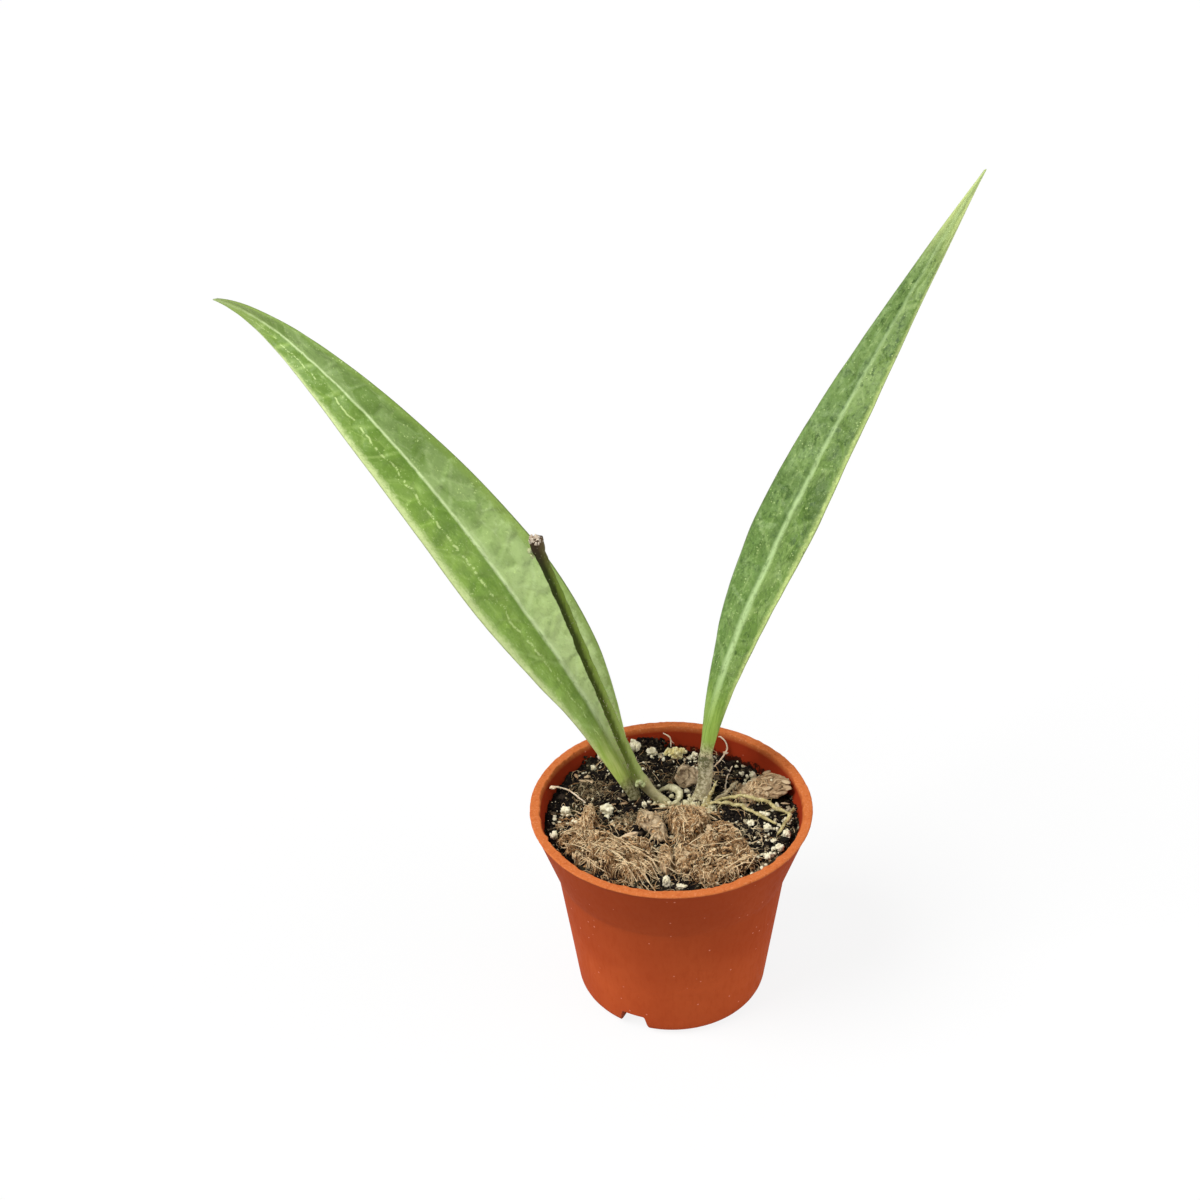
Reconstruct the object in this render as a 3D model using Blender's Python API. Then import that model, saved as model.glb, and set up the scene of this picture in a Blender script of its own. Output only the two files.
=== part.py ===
"""A young hoya cutting in a small terracotta-coloured plastic nursery pot.

Two long leathery leaves and a bare vine stem rise from one rooted crown. The potting mix around it
carries coir fibre, bark chips, perlite grains and loose roots.

Metres, +Z up. The origin is the centre of the pot's base, on the surface that the pot stands on.
+X is to the right and +Y to the back.
"""

import math

import bmesh
import bpy
import numpy as np
from mathutils import Euler, Matrix, Vector

MM = 0.001
CLEARANCE = 0.3 * MM  # gap between pieces that rest on each other

# Pot: a flared collar over a plain tapered cup, with a flat lip on top.
POT_HEIGHT = 47.0 * MM
RIM_RADIUS = 30.0 * MM
LIP_WIDTH = 2.0 * MM
LIP_THICKNESS = 0.6 * MM
COLLAR_HEIGHT = 15.0 * MM
COLLAR_FOOT_RADIUS = 24.9 * MM
COLLAR_STEP = 0.3 * MM
BASE_RADIUS = 20.2 * MM
BASE_FILLET = 3.0 * MM
WALL = 0.9 * MM
FLOOR = 1.0 * MM
POT_SEGMENTS = 64

# Drain recesses in the bottom edge, each with a hole through its roof.
RECESS_COUNT = 3
RECESS_FIRST_ANGLE = math.radians(-114)
RECESS_HEIGHT = 4.7 * MM
RECESS_FOOT_WIDTH = 7.2 * MM
RECESS_ROOF_WIDTH = 5.4 * MM
RECESS_INNER_RADIUS = 14.6 * MM
RECESS_WALL = 0.8 * MM
DRAIN_HOLE_RADIUS = 1.2 * MM
DRAIN_HOLE_AT = 17.0 * MM

# Potting mix.
SOIL_LEVEL = 42.0 * MM
SOIL_FRONT_RISE = 1.0 * MM
SOIL_BACK_HEAP = 1.3 * MM
SOIL_RIPPLE = 0.4 * MM
SOIL_RINGS = 14
SOIL_SEGMENTS = 52

# Leaves. Angles are in degrees and run from the stalk to the tip: heading is the direction in
# plan, climb the slope of the midrib, roll the turn about it. Half widths are in millimetres.
LEAVES = {
    "leaf_left": {
        "base": (-7.3, 8.0, 41.6),
        "length": 155.7,
        "heading": (181, 129.5),
        "climb": (73, 59.5, 49, 26.5, -13.5),
        "roll": (-40, -44, -84),
        "fold": 25,
        "half_width": (1.3, 5.0, 9.2, 11.0, 9.9, 7.9, 5.5, 2.7, 0.15),
        "buried": 3.0,
    },
    "leaf_right": {
        "base": (7.5, 10.0, 51.9),
        "length": 138.4,
        "heading": (28, 46),
        "climb": (82.5, 65, 55.5, 48, 40),
        "roll": (8, 14, 44),
        "fold": 10,
        "half_width": (1.7, 3.9, 6.6, 7.7, 6.9, 5.4, 3.5, 1.9, 0.15),
        "buried": 0.0,
    },
}
LEAF_STATIONS = 40
LEAF_ACROSS = (-1.0, -0.55, 0.0, 0.55, 1.0)
STALK_SHARE = 0.07  # share of the length that is still a round stalk
STALK_THICKNESS = 2.3 * MM
MIDRIB_THICKNESS = 1.1 * MM
MARGIN_THICKNESS = 0.4 * MM

# Vine stem: from its dry cut end down to the buried crown, and up again to the right leaf.
# Each row is x, y, z and radius in millimetres.
VINE_STEM = (
    (-26.4, 5.4, 109.4, 1.45),
    (-26.0, 5.4, 107.2, 1.35),
    (-25.3, 5.4, 104.8, 1.05),
    (-22.5, 5.5, 96.7, 1.00),
    (-20.2, 5.6, 89.8, 1.00),
    (-17.1, 5.8, 79.9, 1.05),
    (-13.6, 6.1, 69.4, 1.05),
    (-10.2, 6.3, 58.8, 1.10),
    (-7.3, 6.5, 50.6, 1.20),
    (-6.3, 6.6, 48.4, 1.45),
    (-4.5, 6.5, 45.8, 1.20),
    (-1.6, 6.2, 42.6, 1.25),
    (2.0, 5.6, 40.3, 1.75),
    (5.0, 6.4, 41.6, 1.70),
    (6.5, 7.6, 43.8, 1.55),
    (7.2, 8.3, 45.8, 1.50),
    (7.5, 9.0, 48.2, 1.50),
    (7.5, 9.6, 50.0, 1.55),
    (7.5, 9.9, 51.3, 1.60),
)

# Roots that lie on the mix. Each row is x, y, z and radius in millimetres.
ROOTS = {
    "aerial_root_lower": (
        (8.0, 3.9, 43.7, 0.75), (9.3, 4.1, 44.1, 0.50), (11.2, 4.0, 44.2, 0.42),
        (13.3, 3.7, 44.0, 0.45), (15.6, 2.8, 43.9, 0.45), (17.8, 1.0, 43.9, 0.50),
        (20.0, -0.9, 43.8, 0.50), (22.2, -2.6, 43.7, 0.40),
    ),
    "aerial_root_upper": (
        (12.4, 5.9, 45.1, 0.35), (14.2, 5.8, 45.3, 0.45), (16.2, 5.1, 45.2, 0.50),
        (18.4, 3.6, 45.2, 0.50), (20.5, 3.2, 45.1, 0.50), (22.1, 1.5, 44.9, 0.50),
        (23.8, 0.5, 44.7, 0.45), (24.8, 0.0, 44.5, 0.35),
    ),
    "aerial_root_side": (
        (26.0, 1.2, 44.6, 0.30), (25.2, -1.5, 45.4, 0.40), (24.4, -3.4, 44.9, 0.45),
        (23.4, -4.9, 44.3, 0.50), (22.3, -6.2, 43.8, 0.40),
    ),
    "aerial_root_stub": (
        (8.6, 5.7, 45.0, 0.50), (9.1, 6.2, 46.3, 0.45), (10.0, 7.6, 47.4, 0.30),
    ),
    "aerial_root_brown": (
        (10.8, 5.9, 43.9, 0.55), (12.0, 7.2, 44.3, 0.50), (13.2, 8.8, 44.5, 0.45),
        (14.3, 10.5, 44.4, 0.35),
    ),
    "curled_root": (
        (-2.6, 10.4, 43.5, 0.55), (-0.8, 9.6, 44.0, 0.90), (0.8, 8.6, 44.2, 0.95),
        (1.9, 7.4, 44.0, 0.85), (2.2, 6.2, 43.6, 0.60),
    ),
    "rootlet_wall": (
        (11.2, 24.3, 46.6, 0.20), (12.3, 23.8, 45.4, 0.25), (12.6, 23.3, 44.2, 0.28),
        (12.2, 22.6, 43.6, 0.62), (11.2, 21.0, 43.1, 0.26), (9.5, 18.2, 43.0, 0.22),
    ),
    "rootlet_back": (
        (-1.4, 26.5, 46.2, 0.20), (-0.4, 26.2, 45.4, 0.22), (0.0, 25.8, 44.3, 0.22),
        (0.1, 25.4, 43.1, 0.22),
    ),
    "rootlet_pale": (
        (13.4, 18.9, 42.35, 0.22), (12.6, 15.0, 42.85, 0.24), (12.0, 12.0, 42.95, 0.24),
        (11.6, 9.0, 42.5, 0.22),
    ),
    "rootlet_left": (
        (-25.5, 7.6, 45.6, 0.95), (-24.6, 7.9, 45.6, 0.45), (-23.2, 7.9, 45.1, 0.26),
        (-21.5, 7.7, 44.4, 0.26), (-20.0, 6.8, 43.8, 0.24), (-18.5, 5.4, 43.4, 0.22),
    ),
}

# Tufts of coir fibre lying on the mix: an outline in plan, then the thickness, in millimetres.
TUFTS = {
    "coir_tuft_left": (
        ((-24.2, -9.6), (-22.0, -6.4), (-18.0, -5.4), (-13.6, -6.8), (-11.2, -9.2),
         (-8.0, -9.0), (-5.0, -9.2), (-3.5, -11.6), (-3.3, -15.4), (-3.4, -20.0),
         (-8.4, -21.4), (-14.0, -19.4), (-19.4, -15.4)),
        2.3,
    ),
    "coir_tuft_right": (
        ((1.2, -10.7), (5.2, -10.0), (7.5, -6.4), (9.2, -2.8), (12.8, -3.2), (14.6, -7.4),
         (16.4, -12.2), (18.3, -16.4), (13.6, -20.2), (7.6, -21.8), (2.0, -20.8), (0.9, -15.6)),
        2.1,
    ),
    "coir_tuft_centre": (
        ((0.0, 1.0), (3.4, 1.8), (7.6, 0.5), (7.8, -2.6), (6.2, -6.2), (3.9, -9.0),
         (1.5, -9.4), (0.7, -5.8), (-0.6, -2.0)),
        2.9,
    ),
    "coir_tuft_side": (
        ((-18.4, 3.4), (-16.6, 3.9), (-16.0, 1.2), (-16.0, -2.0), (-16.6, -4.4),
         (-18.6, -4.2), (-19.2, -1.0)),
        1.6,
    ),
}

# Flat chips: centre, length, width, thickness in millimetres, then the tilt in degrees.
CHIPS = {
    "bark_chip_round": ((3.5, 12.4, 44.7), (5.6, 5.4, 1.2), (52, 0, 8), "bark_grey"),
    "bark_chip_large": ((21.1, 9.0, 44.4), (10.0, 8.4, 1.3), (10, -15, -20), "bark_brown"),
    "husk_chip": ((-3.8, -4.3, 44.8), (10.4, 4.8, 1.6), (8, 8, -57), "bark_grey"),
    "bark_chip_front": ((-1.2, -15.6, 44.6), (8.8, 2.9, 1.9), (0, 0, -87), "bark_brown"),
    "wood_splinter": ((-8.7, -6.6, 43.6), (5.6, 1.3, 0.9), (0, 0, 28), "splinter"),
}

# Perlite grains that stand out: x, y, then width, depth and height in millimetres.
PERLITE = (
    (-13.7, 2.6, 3.1, 2.8, 3.0),
    (-15.4, 19.6, 1.7, 1.6, 2.2),
    (-16.8, 16.3, 1.3, 1.2, 1.8),
    (-7.8, 23.2, 2.6, 2.2, 4.0),
    (-4.4, 22.8, 2.4, 2.0, 2.2),
    (-22.5, 2.6, 2.3, 2.0, 1.9),
    (-5.7, 4.4, 1.3, 1.1, 2.0),
    (-24.6, -6.9, 1.8, 2.2, 2.0),
    (-1.0, -22.7, 1.7, 1.5, 3.2),
    (2.2, -23.4, 2.3, 1.5, 1.5),
    (15.4, 15.6, 1.4, 1.3, 1.5),
    (18.0, 15.0, 1.7, 1.6, 2.2),
    (5.4, 22.8, 1.5, 1.3, 1.6),
    (16.9, -2.6, 1.7, 1.7, 1.9),
    (19.6, 1.6, 2.2, 1.3, 1.5),
    (20.4, -4.0, 2.0, 1.7, 1.8),
    (21.4, -8.8, 1.4, 1.3, 1.3),
    (24.2, -6.8, 1.8, 1.7, 2.4),
    (22.6, -11.4, 2.0, 1.7, 2.2),
    (20.0, -14.2, 2.4, 2.0, 2.0),
    (3.6, 9.6, 1.5, 1.3, 1.5),
)
YELLOW_CLUMP = (0.9, 22.4, 4.8, 2.6, 2.6)


def mm(*values):
    """Millimetres to a vector in metres."""
    return Vector(values) * MM


def blend(values, t):
    """Smooth curve through evenly spaced values, at each t from 0 to 1."""
    v = np.asarray(values, float)
    v = np.concatenate([[2 * v[0] - v[1]], v, [2 * v[-1] - v[-2]]])
    spans = len(v) - 3
    x = np.clip(np.asarray(t, float), 0, 1) * spans
    i = np.minimum(x.astype(int), spans - 1)
    f = x - i
    a, b, c, d = v[i], v[i + 1], v[i + 2], v[i + 3]
    return b + 0.5 * f * (c - a + f * (2 * a - 5 * b + 4 * c - d + f * (3 * (b - c) + d - a)))


def smoothstep(low, high, x):
    t = np.clip((x - low) / (high - low), 0, 1)
    return t * t * (3 - 2 * t)


def clear_scene():
    for obj in list(bpy.data.objects):
        bpy.data.objects.remove(obj, do_unlink=True)


def material(name, colour, roughness):
    mat = bpy.data.materials.new(name)
    mat.use_nodes = True
    shader = mat.node_tree.nodes["Principled BSDF"]
    shader.inputs["Base Color"].default_value = (*colour, 1.0)
    shader.inputs["Roughness"].default_value = roughness
    shader.inputs["Metallic"].default_value = 0.0
    mat.diffuse_color = (*colour, 1.0)
    return mat


def add_object(name, bm, mat, location=(0, 0, 0), rotation=(0, 0, 0), smooth=True):
    bmesh.ops.recalc_face_normals(bm, faces=bm.faces)
    mesh = bpy.data.meshes.new(name)
    bm.to_mesh(mesh)
    bm.free()
    if smooth:
        mesh.shade_smooth()
        mesh.set_sharp_from_angle(angle=math.radians(40))
    if mat:
        mesh.materials.append(mat)
    obj = bpy.data.objects.new(name, mesh)
    obj.location = location
    obj.rotation_euler = rotation
    bpy.context.scene.collection.objects.link(obj)
    return obj


def add_cutter(name, bm):
    obj = add_object(name, bm, None, smooth=False)
    obj.hide_render = True
    obj.display_type = "WIRE"
    return obj


def cut(obj, cutter):
    modifier = obj.modifiers.new("cut_" + cutter.name, "BOOLEAN")
    modifier.operation = "DIFFERENCE"
    modifier.solver = "EXACT"
    modifier.object = cutter


def spin_profile(points, segments):
    """Solid of revolution about Z from an outline that starts and ends on the axis."""
    bm = bmesh.new()
    verts = [bm.verts.new((r, 0, z)) for r, z in points]
    edges = [bm.edges.new(pair) for pair in zip(verts, verts[1:])]
    bmesh.ops.spin(
        bm, geom=verts + edges, axis=(0, 0, 1), cent=(0, 0, 0), steps=segments,
        angle=2 * math.pi, use_merge=True,
    )
    bmesh.ops.remove_doubles(bm, verts=bm.verts, dist=0.001 * MM)
    return bm


def lofted(rings):
    """Closed solid through a list of rings that have the same number of points."""
    bm = bmesh.new()
    rows = [[bm.verts.new(p) for p in ring] for ring in rings]
    count = len(rows[0])
    for low, high in zip(rows, rows[1:]):
        for k in range(count):
            n = (k + 1) % count
            bm.faces.new((low[k], low[n], high[n], high[k]))
    bm.faces.new(rows[0][::-1])
    bm.faces.new(rows[-1])
    return bm


# ---- pot ----


def base_fillet(steps=5):
    """Arc that rounds the pot's wall into its flat base, from the base up."""
    wall = Vector((COLLAR_FOOT_RADIUS - COLLAR_STEP - BASE_RADIUS, POT_HEIGHT - COLLAR_HEIGHT))
    up = wall.normalized()
    half = math.acos(up.x) / 2
    reach = BASE_FILLET * math.tan(half)
    centre_r = BASE_RADIUS - reach
    arc = []
    for k in range(steps + 1):
        angle = -math.pi / 2 + 2 * half * k / steps
        arc.append((centre_r + BASE_FILLET * math.cos(angle), BASE_FILLET + BASE_FILLET * math.sin(angle)))
    return arc


def pot_outline():
    shoulder = POT_HEIGHT - COLLAR_HEIGHT
    outline = [(0, 0)]
    outline += base_fillet()
    outline += [
        (COLLAR_FOOT_RADIUS - COLLAR_STEP, shoulder - COLLAR_STEP),
        (COLLAR_FOOT_RADIUS, shoulder),
        (RIM_RADIUS - 0.2 * MM, POT_HEIGHT - LIP_THICKNESS),
        (RIM_RADIUS, POT_HEIGHT - LIP_THICKNESS + 0.1 * MM),
        (RIM_RADIUS, POT_HEIGHT - 0.2 * MM),
        (RIM_RADIUS - 0.2 * MM, POT_HEIGHT),
        (0, POT_HEIGHT),
    ]
    return outline


def cavity_outline():
    """Inside of the cup as (radius, height), from the floor up to the lip."""
    shoulder = POT_HEIGHT - COLLAR_HEIGHT
    lip_radius = RIM_RADIUS - LIP_WIDTH
    return [
        (BASE_RADIUS - 3.1 * MM, FLOOR),
        (BASE_RADIUS - 1.4 * MM, FLOOR + 0.7 * MM),
        (BASE_RADIUS - 0.5 * MM, FLOOR + 3.0 * MM),
        (COLLAR_FOOT_RADIUS - WALL, shoulder),
        (lip_radius - 1.5 * MM, POT_HEIGHT - 6.0 * MM),
        (lip_radius - 0.3 * MM, POT_HEIGHT - 1.5 * MM),
        (lip_radius, POT_HEIGHT - 0.2 * MM),
        (lip_radius + 0.2 * MM, POT_HEIGHT),
    ]


def cavity_radius(z):
    radii, heights = zip(*cavity_outline())
    return np.interp(z, heights, radii)


def recess_blocks(grow):
    """The three recess volumes, enlarged by grow on their inner sides."""
    bm = bmesh.new()
    below = -1.0 * MM
    outer = BASE_RADIUS + 4.0 * MM
    top = RECESS_HEIGHT + grow
    slope = (RECESS_FOOT_WIDTH - RECESS_ROOF_WIDTH) / 2 / RECESS_HEIGHT
    roof = RECESS_ROOF_WIDTH / 2 + grow - slope * grow
    foot = roof + slope * (top - below)
    section = ((-foot, below), (foot, below), (roof, top), (-roof, top))
    for k in range(RECESS_COUNT):
        turn = Matrix.Rotation(RECESS_FIRST_ANGLE + k * 2 * math.pi / RECESS_COUNT, 3, "Z")
        ends = []
        for radius in (RECESS_INNER_RADIUS - grow, outer):
            ends.append([bm.verts.new(turn @ Vector((radius, y, z))) for y, z in section])
        bm.faces.new(ends[0][::-1])
        bm.faces.new(ends[1])
        for a in range(4):
            b = (a + 1) % 4
            bm.faces.new((ends[0][a], ends[0][b], ends[1][b], ends[1][a]))
    return bm


def drain_holes():
    bm = bmesh.new()
    for k in range(RECESS_COUNT):
        angle = RECESS_FIRST_ANGLE + k * 2 * math.pi / RECESS_COUNT
        place = Matrix.Translation(
            (DRAIN_HOLE_AT * math.cos(angle), DRAIN_HOLE_AT * math.sin(angle), RECESS_HEIGHT)
        )
        bmesh.ops.create_cone(
            bm, cap_ends=True, segments=16, radius1=DRAIN_HOLE_RADIUS,
            radius2=DRAIN_HOLE_RADIUS, depth=3 * MM, matrix=place,
        )
    return bm


def make_pot(mat):
    pot = add_object("pot", spin_profile(pot_outline(), POT_SEGMENTS), mat)
    cavity = [(0, FLOOR)] + cavity_outline()
    cavity.append((RIM_RADIUS - LIP_WIDTH + 0.2 * MM, POT_HEIGHT + 1 * MM))
    cavity.append((0, POT_HEIGHT + 1 * MM))
    cavity = add_cutter("cavity_cutter", spin_profile(cavity, POT_SEGMENTS))
    cut(cavity, add_cutter("recess_lining_cutter", recess_blocks(RECESS_WALL)))
    cut(pot, cavity)
    cut(pot, add_cutter("recess_cutter", recess_blocks(0)))
    cut(pot, add_cutter("drain_cutter", drain_holes()))
    return pot


# ---- potting mix ----


def soil_height(x, y):
    """Height of the mix: gently lumpy, a little higher at the front and at the back left."""
    u = x / MM
    v = y / MM
    lumps = np.sin(0.61 * u + 0.4) * np.cos(0.53 * v - 0.7) + 0.6 * np.sin(0.93 * v + 0.35 * u + 1.9)
    rise = SOIL_FRONT_RISE * smoothstep(2.0, -8.0, v)
    heap = SOIL_BACK_HEAP * np.exp(-((u + 14) ** 2 + (v - 18) ** 2) / 110)
    return SOIL_LEVEL + rise + heap + SOIL_RIPPLE * 0.62 * lumps


def make_potting_mix(mat, cutters):
    bm = bmesh.new()
    angles = [2 * math.pi * k / SOIL_SEGMENTS for k in range(SOIL_SEGMENTS)]
    top_radius = float(cavity_radius(SOIL_LEVEL - SOIL_RIPPLE)) - CLEARANCE
    radii = [top_radius * (k / SOIL_RINGS) for k in range(1, SOIL_RINGS + 1)]
    rings = []
    for radius in radii:
        ring = []
        for angle in angles:
            x = radius * math.cos(angle)
            y = radius * math.sin(angle)
            ring.append((x, y, float(soil_height(x, y))))
        rings.append(ring)
    shoulder = POT_HEIGHT - COLLAR_HEIGHT
    for z in (shoulder + 5 * MM, shoulder, FLOOR + 3 * MM, FLOOR + 0.7 * MM, FLOOR):
        radius = float(cavity_radius(z)) - CLEARANCE
        level = z + CLEARANCE
        rings.append([(radius * math.cos(a), radius * math.sin(a), level) for a in angles])
    rows = [[bm.verts.new(p) for p in ring] for ring in rings]
    middle = bm.verts.new((0, 0, float(soil_height(0.0, 0.0))))
    for k in range(SOIL_SEGMENTS):
        n = (k + 1) % SOIL_SEGMENTS
        bm.faces.new((middle, rows[0][k], rows[0][n]))
        for inner, outer in zip(rows, rows[1:]):
            bm.faces.new((inner[k], outer[k], outer[n], inner[n]))
    bm.faces.new(rows[-1][::-1])
    mix = add_object("potting_mix", bm, mat)
    cut(mix, add_cutter("recess_room_cutter", recess_blocks(RECESS_WALL + CLEARANCE)))
    for cutter in cutters:
        cut(mix, cutter)
    return mix


# ---- leaves ----


def leaf_frames(leaf, stations):
    """Midrib points with the across and upward directions of the blade at each of them."""
    s = np.linspace(0, 1, stations)
    climb = np.radians(blend(leaf["climb"], s))
    heading = np.radians(np.interp(s, (0, 1), leaf["heading"]))
    roll = np.radians(blend(leaf["roll"], s))[:, None]
    along = np.stack(
        [np.cos(climb) * np.cos(heading), np.cos(climb) * np.sin(heading), np.sin(climb)], -1
    )
    step = leaf["length"] * MM / (stations - 1)
    rib = np.zeros((stations, 3))
    rib[1:] = np.cumsum((along[1:] + along[:-1]) / 2 * step, 0)
    level = np.stack([-np.sin(heading), np.cos(heading), 0 * heading], -1)
    upright = np.cross(along, level)
    across = np.cos(roll) * level + np.sin(roll) * upright
    upward = -np.sin(roll) * level + np.cos(roll) * upright
    return s, rib, across, upward


def leaf_sections(leaf, stations, extra=0.0):
    """Closed cross-sections of the blade, from the stalk to the tip; extra thickens them."""
    s, rib, across, upward = leaf_frames(leaf, stations)
    half = blend(leaf["half_width"], s) * MM + extra
    blade = smoothstep(0.3 * STALK_SHARE, 3 * STALK_SHARE, s)
    fold = math.radians(leaf["fold"]) * blade
    rib_thick = STALK_THICKNESS + (MIDRIB_THICKNESS - STALK_THICKNESS) * blade
    rib_thick = rib_thick * (1 - 0.45 * smoothstep(0.5, 1.0, s)) + 2 * extra
    rim_thick = 0.35 * STALK_THICKNESS * (1 - blade) + MARGIN_THICKNESS * blade + 2 * extra
    rim_thick = np.minimum(rim_thick, rib_thick)
    rings = []
    for k in range(stations):
        upper = []
        lower = []
        for u in LEAF_ACROSS:
            out = half[k] * abs(u)
            side = math.copysign(1, u) if u else 0
            point = rib[k] + side * out * math.cos(fold[k]) * across[k]
            point = point + out * math.sin(fold[k]) * upward[k]
            thick = rib_thick[k] + (rim_thick[k] - rib_thick[k]) * u * u
            upper.append(point + upward[k] * thick / 2)
            lower.append(point - upward[k] * thick / 2)
        rings.append(upper + lower[::-1])
    return rings


def stalk_foot(rings, depth):
    """One more ring below the first, so that the stalk reaches down into the mix."""
    first = np.array(rings[0])
    second = np.array(rings[1])
    drop = first.mean(0) - second.mean(0)
    drop = drop / np.linalg.norm(drop) * depth
    return [list(first + drop)] + rings


def make_leaf(name, mat):
    leaf = LEAVES[name]
    rings = leaf_sections(leaf, LEAF_STATIONS)
    if leaf["buried"]:
        rings = stalk_foot(rings, leaf["buried"] * MM)
    return add_object(name, lofted(rings), mat, location=mm(*leaf["base"]))


def leaf_pocket(name):
    """Room in the mix for the buried stalk of a leaf."""
    leaf = LEAVES[name]
    rings = leaf_sections(leaf, LEAF_STATIONS, extra=CLEARANCE)[:5]
    rings = stalk_foot(rings, leaf["buried"] * MM + CLEARANCE)
    base = mm(*leaf["base"])
    moved = [[Vector(p) + base for p in ring] for ring in rings]
    return add_cutter(name + "_pocket", lofted(moved))


# ---- stem and roots ----


def smooth_path(points, steps):
    """Evenly stepped smooth curve through points; columns past the third ride along."""
    points = np.asarray(points, float)
    t = np.linspace(0, 1, steps)
    return np.stack([blend(points[:, c], t) for c in range(points.shape[1])], -1)


def tube(path, radii, sides, end_grow=0.0):
    """Tube along a path with its own radius at each point, closed by flat ends."""
    path = [Vector(p) for p in path]
    rings = []
    side = None
    for k, point in enumerate(path):
        along = (path[min(k + 1, len(path) - 1)] - path[max(k - 1, 0)]).normalized()
        if side is None:
            side = along.orthogonal().normalized()
        side = (side - along * side.dot(along)).normalized()
        other = along.cross(side)
        if k == 0:
            point = point - along * end_grow
        if k == len(path) - 1:
            point = point + along * end_grow
        ring = []
        for n in range(sides):
            angle = 2 * math.pi * n / sides
            spoke = math.cos(angle) * side + math.sin(angle) * other
            ring.append(point + float(radii[k]) * spoke)
        rings.append(ring)
    return lofted(rings)


def make_vine_stem(mat):
    path = smooth_path(VINE_STEM, 46) * MM
    return add_object("vine_stem", tube(path[:, :3], path[:, 3], 10), mat)


def stem_pocket():
    """Room in the mix for the crown, where the stem dips below the surface."""
    path = smooth_path(VINE_STEM, 46) * MM
    low = path[path[:, 2] < SOIL_LEVEL + 3.5 * MM]
    return add_cutter("stem_pocket", tube(low[:, :3], 1.05 * (low[:, 3] + CLEARANCE), 10, CLEARANCE))


def make_root(name, mat):
    path = smooth_path(ROOTS[name], 3 * len(ROOTS[name])) * MM
    return add_object(name, tube(path[:, :3], path[:, 3], 6), mat)


# ---- what lies on the mix ----


def make_tuft(name, mat):
    """Low tuft with an even outline: its underside follows the mix and its top is domed."""
    outline, thickness = TUFTS[name]
    closed = np.array(list(outline) + [outline[0]]) * MM
    count = 30
    edge = np.stack([blend(closed[:, c], np.arange(count) / count) for c in range(2)], -1)
    centre = edge.mean(0)
    bm = bmesh.new()

    def layer(share, lift):
        xy = centre + (edge - centre) * share
        z = soil_height(xy[:, 0], xy[:, 1]) + 1.7 * CLEARANCE
        z = z + thickness * MM * lift * (1 + 0.16 * np.sin(9 * xy[:, 0] / (5 * MM)))
        return [bm.verts.new((p[0], p[1], h)) for p, h in zip(xy, z)]

    rows = [layer(0.3, 0), layer(0.63, 0), layer(0.97, 0)]
    rows += [layer(1.0, 0.35), layer(0.9, 0.8), layer(0.5, 1.0)]
    under = soil_height(*centre) + 1.7 * CLEARANCE
    bottom = bm.verts.new((centre[0], centre[1], under))
    top = bm.verts.new((centre[0], centre[1], under + thickness * MM))
    for k in range(count):
        n = (k + 1) % count
        bm.faces.new((bottom, rows[0][n], rows[0][k]))
        for low, high in zip(rows, rows[1:]):
            bm.faces.new((low[k], low[n], high[n], high[k]))
        bm.faces.new((rows[-1][k], rows[-1][n], top))
    return add_object(name, bm, mat)


def lift_clear(obj):
    """Raise an object until every corner is just clear of the mix below it."""
    placement = Matrix.LocRotScale(obj.location, obj.rotation_euler, obj.scale)
    low = None
    for vert in obj.data.vertices:
        p = placement @ vert.co
        room = p.z - float(soil_height(p.x, p.y)) - 1.35 * CLEARANCE
        low = room if low is None else min(low, room)
    obj.location.z -= low


def make_chip(name, materials):
    """Flat chip with a worn, uneven edge."""
    centre, size, tilt, slot = CHIPS[name]
    half = Vector(size) * MM / 2
    count = 14 if size[1] > 2 else 6
    rings = []
    for level, share in ((-1, 0.86), (-0.3, 1.0), (0.4, 0.98), (1, 0.8)):
        ring = []
        for k in range(count):
            angle = 2 * math.pi * k / count
            wear = 1 - 0.10 * (1 + math.sin(3 * angle + 2 * len(name))) * (0.5 + 0.5 * math.cos(5 * angle))
            ring.append((
                half.x * share * wear * math.cos(angle),
                half.y * share * wear * math.sin(angle),
                half.z * level,
            ))
        rings.append(ring)
    rotation = Euler([math.radians(a) for a in tilt])
    chip = add_object(name, lofted(rings), materials[slot], mm(*centre), rotation)
    lift_clear(chip)
    return chip


def grain(bm, centre, size, rng, detail):
    """One angular grain added to a mesh."""
    made = bmesh.ops.create_icosphere(bm, subdivisions=detail, radius=0.5)
    turn = Euler(rng.uniform(-0.6, 0.6, 3)).to_matrix()
    for vert in made["verts"]:
        bump = 1 + rng.uniform(-0.13, 0.10)
        p = turn @ Vector(vert.co) * bump
        vert.co = Vector(centre) + Vector((p.x * size[0], p.y * size[1], p.z * size[2]))


def make_perlite(materials):
    for number, (x, y, width, depth, height) in enumerate(PERLITE, start=1):
        rng = np.random.default_rng(number)
        bm = bmesh.new()
        grain(bm, (0, 0, 0), mm(width, depth, height), rng, 2)
        name = f"perlite_{number:02d}"
        stone = add_object(name, bm, materials["perlite"], mm(x, y, 44.0), smooth=False)
        lift_clear(stone)
    x, y, width, depth, height = YELLOW_CLUMP
    rng = np.random.default_rng(99)
    bm = bmesh.new()
    grain(bm, (0, 0, 0), mm(width, depth, height), rng, 2)
    clump = add_object("perlite_yellow", bm, materials["perlite_yellow"], mm(x, y, 44.0), smooth=False)
    lift_clear(clump)


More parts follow.
